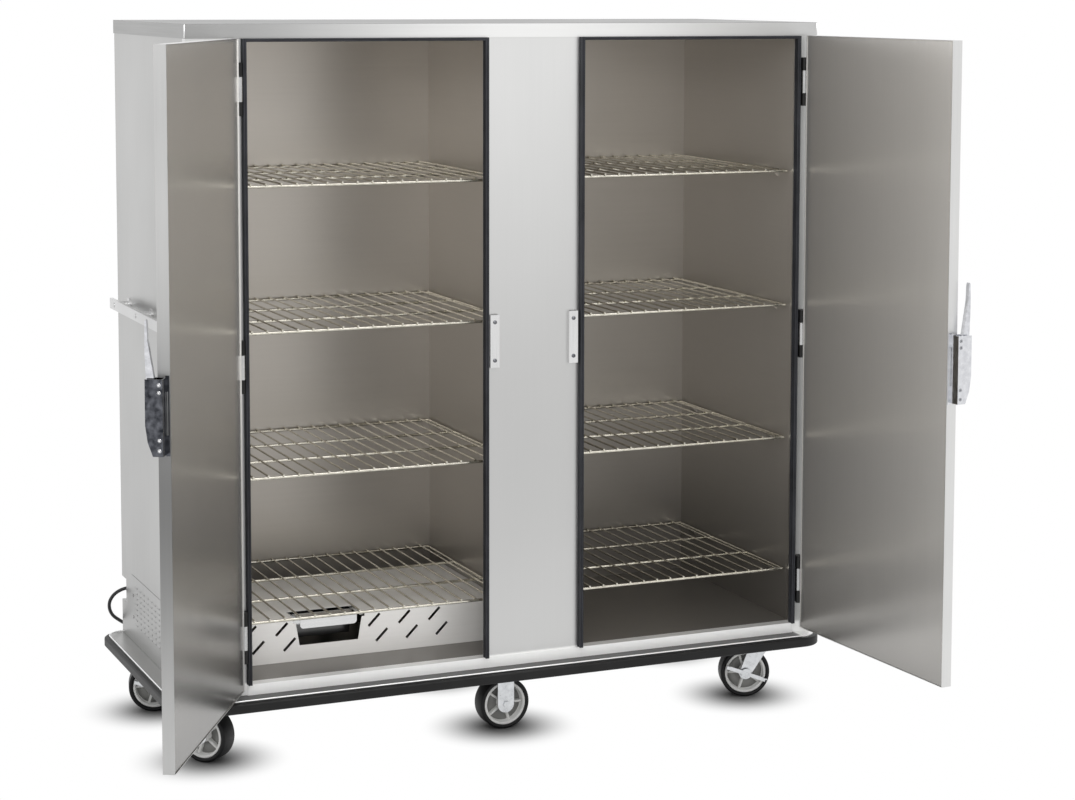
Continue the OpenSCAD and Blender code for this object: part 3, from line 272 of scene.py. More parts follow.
def satin_steel(name, dark, light, grain_mm, rough=(0.30, 0.42), bump=0.02, metal=1.0, shades=(),
                dull=None):
    """Stainless sheet, linished: fine parallel scratches that spread its reflections across them. The real
    scratches are about 0.1 mm wide; here they are as coarse as grain_mm so that they show. Where metal is
    under 1 the sheet also scatters light evenly, as a dull worn sheet does. Shades are painted reflection and
    painted shade: slow changes of tone along an axis, in place of what a sheet mirrors from its room and of
    the shade it lies in; the darker of two where they meet, or the lighter if the second says so. Dull gives
    such stops for the metal."""
    m = new_finish(name)
    grain = add(m, "ShaderNodeTexNoise", {"Scale": 1.0, "Detail": 3.0, "Roughness": 0.6},
                {"Vector": place_mm(m, grain_mm)}).outputs["Fac"]
    cloud = add(m, "ShaderNodeTexNoise", {"Scale": 1.0, "Detail": 2.0},
                {"Vector": place_mm(m, (340, 340, 340))}).outputs["Fac"]
    blend = add(m, "ShaderNodeMath", {0: 0.6}, {1: grain, 2: cloud}, operation="MULTIPLY_ADD").outputs[0]
    tone = add(m, "ShaderNodeMath", {1: 0.625}, {0: blend}, operation="MULTIPLY").outputs[0]
    height = add(m, "ShaderNodeBump", {"Strength": bump, "Distance": 0.0002}, {"Height": grain}).outputs[0]
    colour = ramp(m, tone, dark, light)
    if shades:
        shade = by_place(m, *shades[0])
        for axis, stops, *way in shades[1:]:
            shade = mixed(m, way[0] if way else "DARKEN", shade, by_place(m, axis, stops))
        colour = mixed(m, "MULTIPLY", colour, shade)
    links = {"Base Color": colour, "Roughness": range_of(m, grain, *rough), "Normal": height}
    if dull:
        links["Metallic"] = by_place(m, "Z", dull)
    shader = add(m, "ShaderNodeBsdfPrincipled", {} if dull else {"Metallic": metal}, links)
    return finish_off(m, shader)


def plated(name, dark, light, rough=(0.06, 0.14)):
    """Chrome or zinc plate over pressed steel: smooth, with cloudy patches: slight ones left by the bath, or
    painted reflections where dark and light lie far apart.
    """
    m = new_finish(name)
    cloud = add(m, "ShaderNodeTexNoise", {"Scale": 1.0, "Detail": 3.0},
                {"Vector": place_mm(m, (14, 14, 14))}).outputs["Fac"]
    shader = add(m, "ShaderNodeBsdfPrincipled", {"Metallic": 1.0},
                 {"Base Color": ramp(m, cloud, dark, light), "Roughness": range_of(m, cloud, *rough)})
    return finish_off(m, shader)


def moulded(name, dark, light, rough=(0.4, 0.55), grain_mm=1.6, bump=0.15, gloss=0.5):
    """Moulded rubber or plastic: an even colour with a fine eroded grain from the mould."""
    m = new_finish(name)
    grain = add(m, "ShaderNodeTexNoise", {"Scale": 1.0, "Detail": 2.0},
                {"Vector": place_mm(m, (grain_mm,) * 3)}).outputs["Fac"]
    cloud = add(m, "ShaderNodeTexNoise", {"Scale": 1.0, "Detail": 2.0},
                {"Vector": place_mm(m, (60, 60, 60))}).outputs["Fac"]
    height = add(m, "ShaderNodeBump", {"Strength": bump, "Distance": 0.0002}, {"Height": grain}).outputs[0]
    shader = add(m, "ShaderNodeBsdfPrincipled", {"Specular IOR Level": gloss},
                 {"Base Color": ramp(m, cloud, dark, light), "Roughness": range_of(m, grain, *rough),
                  "Normal": height})
    return finish_off(m, shader)


def across(*stops):
    """Stops along X, given from the body's left face."""
    return "X", [(BODY[0] + place, shade) for place, shade in stops]


# The side, back and access panels darken towards the bottom: painted shade.
body_sheet = satin_steel("satin_stainless_upright_grain", "B8B8B7", "C6C6C5", (5, 5, 260),
                         shades=[("Z", [(0.2, 0.75), (0.6, 0.9), (1.8, 1.0)])])
# The cap's skirt carries a painted reflection: dark at the left end, bright across the middle, greyer at the
# right. Its top is painted in shade, about a quarter as bright.
cap_sheet = satin_steel("satin_stainless_cap", "F5F5F4", "FDFDFC", (260, 260, 4), shades=[
    across((0, 0.4), (0.85, 0.95), (1.67, 0.6)), ("Z", [(1.7892, 1.0), (1.7896, 0.26)])])
# The sill below 216 mm is a painted highlight: full tone and far less metallic, so it reads bright. The frame
# and mullion above it are painted in shade, darkest around 0.75 m.
frame_sheet = satin_steel("satin_stainless_front_frame", "F6F6F5", "FCFCFB", (5, 5, 320), shades=[
    ("Z", [(0.2155, 1.0), (0.2165, 0.65), (0.75, 0.6), (1.8, 0.8)])], dull=[(0.2155, 0.15), (0.2165, 1.0)])
# The deck carries a painted reflection: its strip left of the body mid-grey, its front strip nearly black,
# and a bright patch past the sill's right end.
deck_sheet = satin_steel("satin_stainless_deck", "EAEAE8", "F6F6F4", (220, 5, 5), (0.30, 0.42), shades=[
    across((-0.003, 0.6), (0.003, 0.1), (1.612, 0.1), (1.620, 1.0))])
rim_bright = satin_steel("polished_stainless_rim", "F4F4F4", "FEFEFE", (30, 30, 3), (0.16, 0.24), metal=0.5)
# Both compartments darken towards their floors: painted shade, the right one darker over most of its height.
left_inner = satin_steel(
    "satin_stainless_left_compartment", "C9C3BB", "CFC9C1", (300, 300, 9), (0.30, 0.34), 0.003, 0.6,
    [("Z", [(0.217, 0.3), (0.45, 0.75), (1.75, 1.0)])])
right_inner = satin_steel(
    "satin_stainless_right_compartment", "C9C3BB", "CFC9C1", (300, 300, 9), (0.30, 0.34), 0.003, 0.6,
    [("Z", [(0.217, 0.35), (0.8, 0.7), (1.75, 0.9)])])

# The left door's free edge stands nearest to the camera, and only there does the outer sheet darken by
# height: painted shade, darkest at 0.8 m. The right door's sheet is the same finish without it.
door_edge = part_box("left_door_shell")[0][1]
door_sheet = satin_steel("satin_stainless_left_door", "D8D8D7", "E4E4E3", (5, 5, 320), shades=[
    ("Z", [(0.2, 0.75), (0.8, 0.3), (1.35, 0.75)]),
    ("Y", [(door_edge + 0.028, 0.0), (door_edge + 0.040, 1.0)], "LIGHTEN")])
bright_door_sheet = satin_steel("satin_stainless_right_door", "D8D8D7", "E4E4E3", (5, 5, 320))
# The doors' insides are lit and shaded copies of one sheet, told apart by tone and metal. Both darken towards
# the bottom, and the right one also darkens towards its hinge: all painted shade.
left_door_inner = satin_steel(
    "satin_stainless_left_door_inside", "EFECE7", "F4F1EC", (9, 9, 340), (0.22, 0.27), 0.005, 0.80,
    [("Z", [(0.2, 0.25), (0.6, 0.65), (1.1, 1.0)])])
right_door_inner = satin_steel(
    "satin_stainless_right_door_inside", "F5F2ED", "FAF7F2", (9, 9, 340), (0.22, 0.27), 0.005, 0.66,
    [("Z", [(0.2, 0.35), (0.6, 1.0)]), ("Y", [(BODY[1] - 0.68, 1.0), (BODY[1], 0.5)])])
cover_sheet = satin_steel("satin_stainless_heater_cover", "EEECE9", "F6F4F1", (240, 5, 5), metal=0.2)
# Below 290 mm the pan is nearly black: painted shade in the dark space behind the heater cover's window,
# under a bright lip.
pan_sheet = satin_steel("bright_stainless_pan", "D4D4D4", "E4E4E4", (120, 4, 4), (0.16, 0.26),
                        shades=[("Z", [(0.2900, 0.17), (0.2950, 1.0)])])
handle_sheet = satin_steel("satin_stainless_handle", "C8C8C8", "DEDEDE", (4, 120, 4))
strike_sheet = satin_steel("bright_stainless_strike", "D0D0D0", "E6E6E6", (4, 4, 60), (0.18, 0.28))
hinge_bright = satin_steel("bright_stainless_hinge", "A4A4A4", "C8C8C8", (3, 3, 40), (0.2, 0.3))
control_sheet = satin_steel("satin_stainless_control_plate", "BCBCBC", "D2D2D2", (3, 3, 90))
element_steel = satin_steel("heat_darkened_steel", "4A4238", "6E6355", (4, 4, 4), (0.45, 0.6))
fan_sheet = satin_steel("plain_aluminium_fan", "B4B6B8", "CCCED0", (3, 3, 20), (0.35, 0.5))
shelf_plate = plated("nickel_plated_shelf_wire", "BDB9AC", "E0DCD0", (0.14, 0.26))
# The left latch is a dark copy of the right latch's chrome: painted reflection of dark surroundings, mottled
# by its wide cloud.
dark_latch_plate = plated("chrome_plated_left_latch", "2C2E33", "6C6E74", (0.05, 0.12))
latch_plate = plated("chrome_plated_right_latch", "CDCED2", "E4E5E8", (0.10, 0.20))
lever_plate = plated("chrome_plated_lever", "C4C5C9", "E2E3E7")
# Lit and shaded copies of one rivet finish: bright caps stand out on the dark left latch. The shaded copy is
# painted shade on the right latch's rivets and on the strike bolts.
rivet_bright = plated("bright_rivet", "F0F0F1", "FBFBFC", (0.20, 0.30))
rivet_shaded = plated("shaded_rivet", "606166", "808186", (0.20, 0.30))
zinc_plate = plated("bright_zinc_plate", "C4C6C8", "E0E2E4", (0.24, 0.38))
hinge_black = moulded("black_coated_hinge", "0C0C0C", "181818", (0.3, 0.42), 1.6, 0.1, 0.3)
bumper_vinyl = moulded("black_extruded_vinyl_bumper", "0E0E0E", "181818", (0.4, 0.52), 2.5, 0.1, 0.3)
gasket_rubber = moulded("dark_grey_extruded_gasket", "222327", "303136", (0.5, 0.62), 1.6, 0.1, 0.3)
cord_jacket = moulded("black_rubber_cord_jacket", "141415", "202022", (0.42, 0.55))
plug_rubber = moulded("black_moulded_plug", "161617", "232325", (0.4, 0.52))
knob_phenolic = moulded("black_moulded_knob", "151517", "222226", (0.3, 0.4))
switch_nylon = moulded("black_moulded_switch", "121214", "1C1C1E", (0.2, 0.3), 1.0, 0.05)
tread_rubber = moulded("dark_polyurethane_tread", "0C0C0D", "161617", (0.42, 0.56), 2.0, 0.1, 0.25)
hub_nylon = moulded("light_grey_moulded_hub", "DCDCDA", "EAEAE8", (0.35, 0.45), 1.2, 0.05)
# The hub's web, recessed between rim and boss, is a darker copy of the hub's grey: painted shade.
shaded_web_nylon = moulded("hub_web_painted_shade", "7C7C7A", "92928F", (0.4, 0.5), 1.2, 0.05)
tie_web = moulded("grey_woven_hook_and_loop_tie", "4A4A4E", "5E5E63", (0.8, 0.95), 0.8, 0.4, 0.1)
pilot_lens = moulded("amber_moulded_lens", "C8501A", "E06A28", (0.12, 0.2), 3.0, 0.02)
motor_enamel = moulded("dark_grey_motor_enamel", "3A3D40", "4C5054", (0.3, 0.42))


# Cord, its tie and its plug

cord_d = 0.009
route = np.array([
    [46, 680, 310], [30, 680, 310], [9, 681, 309], [-10, 685, 303], [-25, 693, 290],
    [-33, 704, 270], [-30, 717, 247], [-18, 731, 226], [2, 745, 208], [26, 758, 190],
    [52, 769, 168], [78, 778, 142], [103, 786, 112], [128, 794, 80], [154, 803, 49],
    [182, 814, 23], [214, 827, 8], [250, 837, 3.6], [280, 842, 3.6], [300, 843, 3.6]]) / 1000


def through(points, steps):
    """Catmull-Rom curve: each stretch is the cubic whose slope at a point is half the way between the
    neighbours of that point."""
    ends = np.vstack([2 * points[0] - points[1], points, 2 * points[-1] - points[-2]])
    a, b, c, d = ends[:-3, None], ends[1:-2, None], ends[2:-1, None], ends[3:, None]
    t = np.linspace(0, 1, steps, endpoint=False)[None, :, None]
    squares, cubes = (2 * a - 5 * b + 4 * c - d) * t ** 2, (3 * b - a - 3 * c + d) * t ** 3
    curve = 0.5 * (2 * b + (c - a) * t + squares + cubes)
    return np.vstack([curve.reshape(-1, 3), points[-1:]])


def coil_line():
    """A flat spiral in to half its turns, up one layer in the next half turn, and out again; then a
    straight end."""
    turns, step, inner, lie = 7.25, cord_d + 0.0009, 0.034, 0.0036
    t = np.linspace(0, turns, int(turns * 36) + 1)
    angle = -np.pi / 2 + 2 * np.pi * t
    radius = inner + step * np.abs(t - turns / 2)
    middle = np.array([0.309, 0.843 + inner + step * turns / 2, 0])
    height = lie + step * np.clip((t - turns / 2 + 0.25) * 2, 0, 1)
    line = middle + np.stack([radius * np.cos(angle), radius * np.sin(angle), height], -1)
    tail = line[-1] + np.array([[0, 0.028, 0], [0, 0.056, 0]])
    return np.vstack([line, tail]), middle


def lay_cord():
    """The whole supply cord as one curve, with its line, its length and the coil's middle."""
    coil, middle = coil_line()
    line = np.vstack([through(route, 8), coil]) + BODY
    curve = bpy.data.curves.new("supply_cord", "CURVE")
    curve.dimensions = "3D"
    spline = curve.splines.new("POLY")
    spline.points.add(len(line) - 1)
    spline.points.foreach_set("co", np.hstack([line, np.ones((len(line), 1))]).ravel())
    curve.bevel_depth = cord_d / 2
    curve.bevel_resolution = 4
    curve.use_fill_caps = True
    curve.materials.append(cord_jacket)
    cord = bpy.data.objects.new("supply_cord", curve)
    bpy.context.scene.collection.objects.link(cord)
    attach(cord, "cabinet")
    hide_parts("power_cord", "cord_coil")
    length = float(np.linalg.norm(np.diff(line, axis=0), axis=1).sum())
    print("cord length", round(length, 3))
    return cord, line, length, middle


cord, cord_line, cord_length, coil_middle = lay_cord()


def coil_tie():
    """A strap round the coil's turns: a superellipse in radius and height, 1.2 mm thick and 12 mm wide."""
    middle_r, middle_z, half_wide, bearing = 0.0515, 0.0100, 0.006, 205
    outer, inner = (0.0242, 0.0097), (0.0230, 0.0085)
    angle = np.linspace(0, 2 * np.pi, 48, endpoint=False)
    c, s = np.cos(angle), np.sin(angle)
    shape = np.stack([np.sign(c) * np.abs(c) ** 0.5, np.sign(s) * np.abs(s) ** 0.5], -1)
    rings = []
    for (half_r, half_z), along in ((outer, -half_wide), (outer, half_wide), (inner, half_wide),
                                    (inner, -half_wide)):
        radius, height = middle_r + half_r * shape[:, 0], middle_z + half_z * shape[:, 1]
        rings.append(np.stack([radius, np.full_like(radius, along), height], -1))
    strap = np.array(rings).reshape(-1, 3), grid_faces(4, 48, True, True)
    tail = block((0.046, -half_wide, 0.0194), (0.068, half_wide, 0.0206), 0.0004)
    points, faces = joined([strap, tail])
    return turned(points, bearing, BODY + coil_middle), faces


tie = mesh_piece("coil_tie", *coil_tie(), tie_web, "cabinet", smooth=False)


# Finishes of the CAD nodes

dress = {
    body_sheet: ["left_side_panel", "right_side_panel", "back_panel", "access_panel"],
    cap_sheet: ["top_panel"],
    frame_sheet: ["front_frame", "center_mullion"],
    deck_sheet: ["base_frame"],
    bumper_vinyl: ["bumper"],
    left_inner: ["left_liner"],
    right_inner: ["right_liner"],
    gasket_rubber: ["left_gasket", "right_gasket"],
    shelf_plate: ["%s_shelf_%d" % (side, n) for side in ("left", "right") for n in (1, 2, 3, 4)],
    door_sheet: ["left_door_shell"],
    bright_door_sheet: ["right_door_shell"],
    left_door_inner: ["left_door_liner"],
    right_door_inner: ["right_door_liner"],
    hinge_black: ["cabinet_hinge_leaves"],
    hinge_bright: ["left_door_hinge_leaves", "right_door_hinge_leaves"],
    dark_latch_plate: ["left_latch_body"],
    latch_plate: ["right_latch_body"],
    lever_plate: ["left_latch_lever", "right_latch_lever"],
    strike_sheet: ["latch_strikes"],
    handle_sheet: ["push_handle"],
    cover_sheet: ["heater_cover"],
    pan_sheet: ["humidity_pan"],
    element_steel: ["heating_element"],
    fan_sheet: ["blower_wheel"],
    motor_enamel: ["blower_motor"],
    control_sheet: ["control_panel"],
    knob_phenolic: ["thermostat_knob"],
    switch_nylon: ["power_switch"],
    plug_rubber: ["plug", "cord_gland"],
    zinc_plate: ["caster_plates", "front_left_fork", "front_right_fork", "rear_left_fork",
                 "rear_right_fork", "rigid_forks", "front_right_brake", "rear_left_brake"],
    tread_rubber: ["front_left_wheel", "front_right_wheel", "rear_left_wheel", "rear_right_wheel",
                   "middle_front_wheel", "middle_rear_wheel"],
}
for finish, names in dress.items():
    for name in names:
        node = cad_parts[name]
        for k in range(max(1, len(node.material_slots))):
            if not node.material_slots:
                node.data.materials.append(finish)
            node.material_slots[k].material = finish


# Wheels: a tread on a spoked hub

wheel_r, wheel_half, hub_half = 0.066, 0.025, 0.0235


def tread_profile():
    """The tread's closed outline: a slightly crowned face between two rounded shoulders."""
    half, inner = wheel_half, wheel_r - 0.0115
    angle = np.linspace(-90, 90, 9)
    shoulder = 0.006
    rim = [(wheel_r - shoulder + shoulder * math.cos(math.radians(a)),
            (half - shoulder) * np.sign(a if a else 1) + shoulder * math.sin(math.radians(a))) for a in angle]
    low = [p for p in rim if p[1] < 0]
    high = [p for p in rim if p[1] > 0]
    return [(inner, -half + 0.003)] + low + high + [(inner, half - 0.003), (inner, -half + 0.003)]


def hub_parts():
    """A rim ring, a thin web, a boss, and ribs that stand out on both sides of the web."""
    out, rim = wheel_r - 0.0115, wheel_r - 0.018
    half = [(out + 0.0004, hub_half - 0.0015), (out - 0.0015, hub_half), (rim + 0.001, hub_half - 0.0005),
            (rim, hub_half - 0.003), (rim - 0.0015, 0.004), (0.017, 0.004), (0.0165, hub_half - 0.003),
            (0.0145, hub_half), (0.0042, hub_half)]
    ring = [(r, -y) for r, y in half] + half[::-1] + [(half[0][0], -half[0][1])]
    parts = [spun(ring)]
    ribs = 5
    for k in range(ribs):
        points, faces = block((0.014, -0.0155, -0.003), (rim + 0.0002, 0.0155, 0.003), 0.001)
        c, s = math.cos(2 * math.pi * k / ribs), math.sin(2 * math.pi * k / ribs)
        x, y, z = points.T
        parts.append((np.stack([x * c - z * s, y, x * s + z * c], -1), faces))
    return joined(parts)


def web_disc():
    """A ring over the hub's thin web, from the boss to the rim, in a darker copy of the hub's finish: painted
    shade.
    """
    low, high, half = 0.0168, wheel_r - 0.0193, 0.0045
    return spun([(low, -half), (high, -half), (high, half), (low, half), (low, -half)])


# Each wheel's king pin, the turn of its fork in degrees, and how far the wheel trails behind the pin
wheels = {
    "front_left_wheel": ((0.095, 0.105), 131, 0.038), "front_right_wheel": ((1.569, 0.105), 163, 0.038),
    "rear_left_wheel": ((0.095, 0.595), 168, 0.038), "rear_right_wheel": ((1.569, 0.595), 180, 0.038),
    "middle_front_wheel": ((0.832, 0.105), 0, 0), "middle_rear_wheel": ((0.832, 0.595), 0, 0)}
wheel_parts = (("tread", spun(tread_profile()), tread_rubber), ("hub", hub_parts(), hub_nylon),
               ("web", web_disc(), shaded_web_nylon))
for name, ((x, y), angle, trail) in wheels.items():
    centre = BODY + [x, y, wheel_r]
    body = name.replace("_wheel", "_roller")
    for part, (points, faces), finish in wheel_parts:
        placed = turned(points + np.array([trail, 0, 0]), angle, centre)
        piece = mesh_piece(name + "_" + part, placed, faces, finish, body)
        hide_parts(name)


# Gaskets: an extruded section with three soft ribs on a narrower neck

def gasket_section(width):
    """Across runs from 0 to the width: the face is two half waves, and the sides pull in behind it."""
    across = np.linspace(0, width, 25)
    face = 0.0144 + 0.0015 * np.abs(np.sin(2 * np.pi * across / width)) ** 0.7
    left = [(0, -0.0025), (0, 0.0015), (0.0012, 0.004), (0.0012, 0.010), (0, 0.0125)]
    right = [(width - x, y) for x, y in left[::-1]]
    return list(zip(across, face)) + right + left


floor_z, open_top = 0.216, 1.756
for name, x0 in (("left_gasket", 0.133), ("right_gasket", 0.996)):
    low, high = floor_z + 0.0003, open_top - 0.0003
    parts = []
    for x in (x0 + 0.0003, x0 + 0.608):
        start, top = BODY + [x, 0, low], BODY + [x, 0, high]
        parts.append(straight(gasket_section(0.0097), start, top, (1, 0, 0), (0, -1, 0)))
    start = BODY + [x0 + 0.010, 0, high]
    parts.append(straight(gasket_section(0.0077), start, start + [0.598, 0, 0], (0, 0, -1), (0, -1, 0)))
    piece = mesh_piece(name + "_ribbed", *joined(parts), gasket_rubber, "cabinet", smooth=False)
    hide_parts(name)


# The deck's polished rim and the cap's welded corners

def rim_bead():
    """A round bead carried along the deck's rim: straight sides and four quarter turns, the rear right one
    tight about the body's corner."""
    bead_r, rim_z = 0.002, 0.1903
    left, front, right, back = -0.0435, -0.0485, 1.6665, 0.7025
    wide, tight = 0.0445, 0.0037
    path = []
    for cx, cy, start, r in ((right - tight, back - tight, 0, tight), (left + wide, back - wide, 90, wide),
                             (left + wide, front + wide, 180, wide), (right - wide, front + wide, 270, wide)):
        for a in np.radians(np.linspace(start, start + 90, 17)):
            path.append((cx, cy, math.cos(a), math.sin(a), r))
    path = np.array(path)
    turn = np.linspace(0, 2 * np.pi, 16, endpoint=False)
    away = path[:, 4:5] + bead_r * np.cos(turn)
    points = np.stack([path[:, :1] + path[:, 2:3] * away, path[:, 1:2] + path[:, 3:4] * away,
                       np.broadcast_to(rim_z + bead_r * np.sin(turn), (len(path), 16))], -1)
    return points.reshape(-1, 3) + BODY, grid_faces(len(path), 16, True, True)


bead = mesh_piece("deck_rim_bead", *rim_bead(), rim_bright, "cabinet")


def cap_corners():
    """A slim rod of 12 sides down each front corner of the cap's skirt, where its sheet is welded."""
    rod_r, proud, low, high = 0.0016, 0.0012, 1.7575, 1.7885
    turn = np.linspace(0, 2 * np.pi, 12, endpoint=False)
    ring = np.stack([rod_r * np.cos(turn), rod_r * np.sin(turn), np.zeros(12)], -1)
    parts = [lofted([ring + [x, -proud, low], ring + [x, -proud, high]]) for x in (-proud, body_w + proud)]
    points, faces = joined(parts)
    return points + BODY, faces


corners = mesh_piece("cap_corner_welds", *cap_corners(), rim_bright, "cabinet")


# Rivets of the latches and bolts of the strikes

def along_axis(profile, steps=48):
    """The spun surface with its axis along X in place of Y, closed at its ends by the profile itself."""
    points, faces = spun(profile, steps)
    return points[:, [1, 0, 2]] * [1, 1, -1], faces


def on_door(side, points):
    """Points drawn for the left door, shut, put where that door or its mirror image stands open."""
    if side == "left":
        return turned(points, -left_open, BODY + left_pivot)
    return turned(np.asarray(points) * [-1, 1, 1], right_open, BODY + right_pivot)


def rivet_caps(side):
    """Four domed caps in a column on the latch housing's outer cheek."""
    cheek_x, cheek_y = 0.6743, -0.016
    cap = [(0.0042, 0.0), (0.0042, 0.0003), (0.0036, 0.0007), (0.0034, 0.0009), (0.0020, 0.0013),
           (0.0, 0.0014)]
    parts = []
    for z in (0.911, 0.933, 1.034, 1.050):
        points, faces = along_axis(cap, 24)
        points = on_door(side, points + [cheek_x, cheek_y, z])
        parts.append((points, faces if side == "left" else [face[::-1] for face in faces]))
    return joined(parts)


# The left latch's rivets take the lit copy, the right latch's the painted-shade copy.
for side, finish in (("left", rivet_bright), ("right", rivet_shaded)):
    caps = mesh_piece(side + "_latch_rivets", *rivet_caps(side), finish, side + "_door")


def strike_bolts():
    """Domed bolt heads over the strikes' bolts."""
    strike_face = -0.009
    head = [(0.0050, 0.0), (0.0050, -0.0010), (0.0042, -0.0022), (0.0020, -0.0030), (0.0, -0.0031)]
    parts = []
    for x in (0.768, 0.979):
        for z in (0.962, 1.057):
            points, faces = spun(head, 24)
            parts.append((points + BODY + [x, strike_face, z], faces))
    return joined(parts)


# The bolt heads take the painted-shade copy of the rivet finish.
bolts = mesh_piece("strike_bolts", *strike_bolts(), rivet_shaded, "cabinet")


# Strain relief and plug

gland_at = BODY + [0.070, 0.680, 0.310]


def strain_relief():
    """A hexagonal nut, a domed shoulder and a tapering sleeve cut by ring grooves."""
    profile = [(0.0, 0.0), (0.009, 0.0), (0.009, -0.0045), (0.0088, -0.0085), (0.0082, -0.0100)]
    for k in range(4):
        x = -0.0102 - 0.0034 * k
        r = 0.0079 - 0.0006 * k
        profile += [(r, x), (r - 0.0002, x - 0.0020), (r - 0.0011, x - 0.0023),
                    (r - 0.0012, x - 0.0032)]
    profile += [(0.0053, -0.0238), (0.0046, -0.0240)]
    parts = [along_axis(profile)]
    angle = np.radians(np.arange(0, 360, 60))
    ring = np.stack([np.zeros(6), 0.013 * np.cos(angle), 0.013 * np.sin(angle)], -1)
    inner = ring * [1, 0.93, 0.93]
    parts.append(lofted([ring, ring + [-0.0038, 0, 0], inner + [-0.005, 0, 0]]))
    points, faces = joined(parts)
    return points + gland_at, faces


relief = mesh_piece("strain_relief", *strain_relief(), plug_rubber, "cabinet", smooth=False)
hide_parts("cord_gland")


def plug_body(end):
    """Rounded box sections along Y: each is a superellipse whose half width and half height are given."""
    stations = np.array([
        (0.0, 5.2, 5.2, 2), (3, 5.6, 5.6, 2), (3.4, 6.4, 6.4, 2), (5.4, 6.4, 6.4, 2), (5.8, 5.7, 5.7, 2),
        (7.4, 5.9, 5.9, 2), (7.8, 6.9, 6.9, 2), (9.8, 6.9, 6.9, 2), (10.2, 6.2, 6.2, 2), (12, 6.6, 6.6, 2.2),
        (13.5, 8.2, 7.6, 2.4), (17, 11.4, 9.4, 2.8), (22, 12.6, 10.6, 3), (29, 12.2, 11.4, 3),
        (36, 12.9, 12.6, 3.2), (40, 13.3, 13.3, 3.2), (45.6, 13.3, 13.3, 3.2), (46.7, 12.6, 12.6, 3.2),
        (47, 11.4, 11.4, 3.2)])
    angle = np.linspace(0, 2 * np.pi, 40, endpoint=False)
    rings = []
    for y, half_x, half_z, power in stations:
        c, s = np.cos(angle), np.sin(angle)
        x = half_x * np.sign(c) * np.abs(c) ** (2 / power)
        z = half_z * np.sign(s) * np.abs(s) ** (2 / power)
        rings.append(np.stack([x, np.full_like(x, y), z], -1) / 1000)
    points, faces = lofted(rings)
    return points + end, [face[::-1] for face in faces]


def plug_blades(end):
    """Two flat blades and a round earth pin with a rounded tip."""
    parts = []
    for x in (-0.00635, 0.00635):
        parts.append(block((x - 0.0008, 0.046, -0.0033), (x + 0.0008, 0.0638, 0.0033), 0.0003))
    pin, faces = spun([(0.0, 0.046), (0.0024, 0.046), (0.0024, 0.0628), (0.0019, 0.0643), (0.0010, 0.0650),
                       (0.0, 0.0652)], 24)
    parts.append((pin + [0, 0, -0.006], faces))
    points, faces = joined(parts)
    return points + end, faces


plug_end = cord_line[-1]
for name, (points, faces), finish in (("plug_body", plug_body(plug_end), plug_rubber),
                                      ("plug_blades", plug_blades(plug_end), strike_sheet)):
    piece = mesh_piece(name, points, faces, finish, "cabinet", smooth=name == "plug_body")
    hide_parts("plug")


# Controls: a fluted knob, its scale, and the pilot light's lens

panel_face = -0.0045
dial_at = BODY + [panel_face, 0.120, 0.290]
knob_at = dial_at - [0.0003, 0, 0]
pilot_at = BODY + [panel_face, 0.175, 0.316]


def fluted_knob():
    """Rings along the axis whose radius waves with the angle on the grip, under a raised pointer bar."""
    angle = np.linspace(0, 2 * np.pi, 144, endpoint=False)
    wave = 0.5 + 0.5 * np.cos(24 * angle)
    rings = []
    profile = ((0, 19, 0), (1.2, 19, 0), (2.4, 18.2, 0), (3.2, 15.6, 0), (4.0, 15.2, 0.9), (14.6, 13.9, 0.9),
               (16.2, 13.4, 0.6), (17, 12.2, 0), (16.6, 8, 0), (16.5, 0.01, 0))
    for depth, radius, flute in profile:
        r = radius - flute * wave
        rings.append(np.stack([np.full_like(angle, -depth), r * np.cos(angle), r * np.sin(angle)], -1) / 1000)
    points, faces = lofted(rings)
    bar = block((-0.0184, -0.0014, 0.001), (-0.0150, 0.0014, 0.0152), 0.0004)
    points, faces = joined([(points, [face[::-1] for face in faces]), bar])
    return points + knob_at, faces


knob = mesh_piece("fluted_knob", *fluted_knob(), knob_phenolic, "heat_knob", smooth=False)
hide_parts("thermostat_knob")


def dial_marks():
    """Eleven short raised bars fanned over three quarters of a circle about the knob."""
    parts = []
    for angle in np.radians(np.linspace(-135, 135, 11)):
        points, faces = block((-0.0004, -0.0005, 0.0212), (0.0001, 0.0005, 0.0258))
        x, y, z = points.T
        parts.append((np.stack([x, y * math.cos(angle) + z * math.sin(angle),
                                z * math.cos(angle) - y * math.sin(angle)], -1), faces))
    points, faces = joined(parts)
    return points + dial_at, faces


marks = mesh_piece("dial_marks", *dial_marks(), knob_phenolic, "cabinet", smooth=False)


def lens():
    """A shallow dome of revolution."""
    profile = [(0.0052, 0.0), (0.0052, -0.0008)]
    for a in np.linspace(0, np.pi / 2, 9):
        profile.append((0.0046 * math.cos(a), -0.0010 - 0.0032 * math.sin(a)))
    points, faces = along_axis(profile, 32)
    return points + pilot_at, faces


pilot = mesh_piece("pilot_lens", *lens(), pilot_lens, "cabinet")


# Studio

def nearest_caster(paint):
    """The distance on the floor to the nearest of the six casters, in metres."""
    where = add(paint, "ShaderNodeTexCoord").outputs["Object"]
    nearest = None
    for (x, y), angle, trail in wheels.values():
        spot = turned([[trail, 0, 0]], angle, BODY + [x, y, 0])[0]
        away = add(paint, "ShaderNodeVectorMath", {1: spot.tolist()}, {0: where},
                   operation="DISTANCE").outputs["Value"]
        if nearest is None:
            nearest = away
        else:
            nearest = add(paint, "ShaderNodeMath", links={0: nearest, 1: away},
                          operation="MINIMUM").outputs[0]
    return nearest


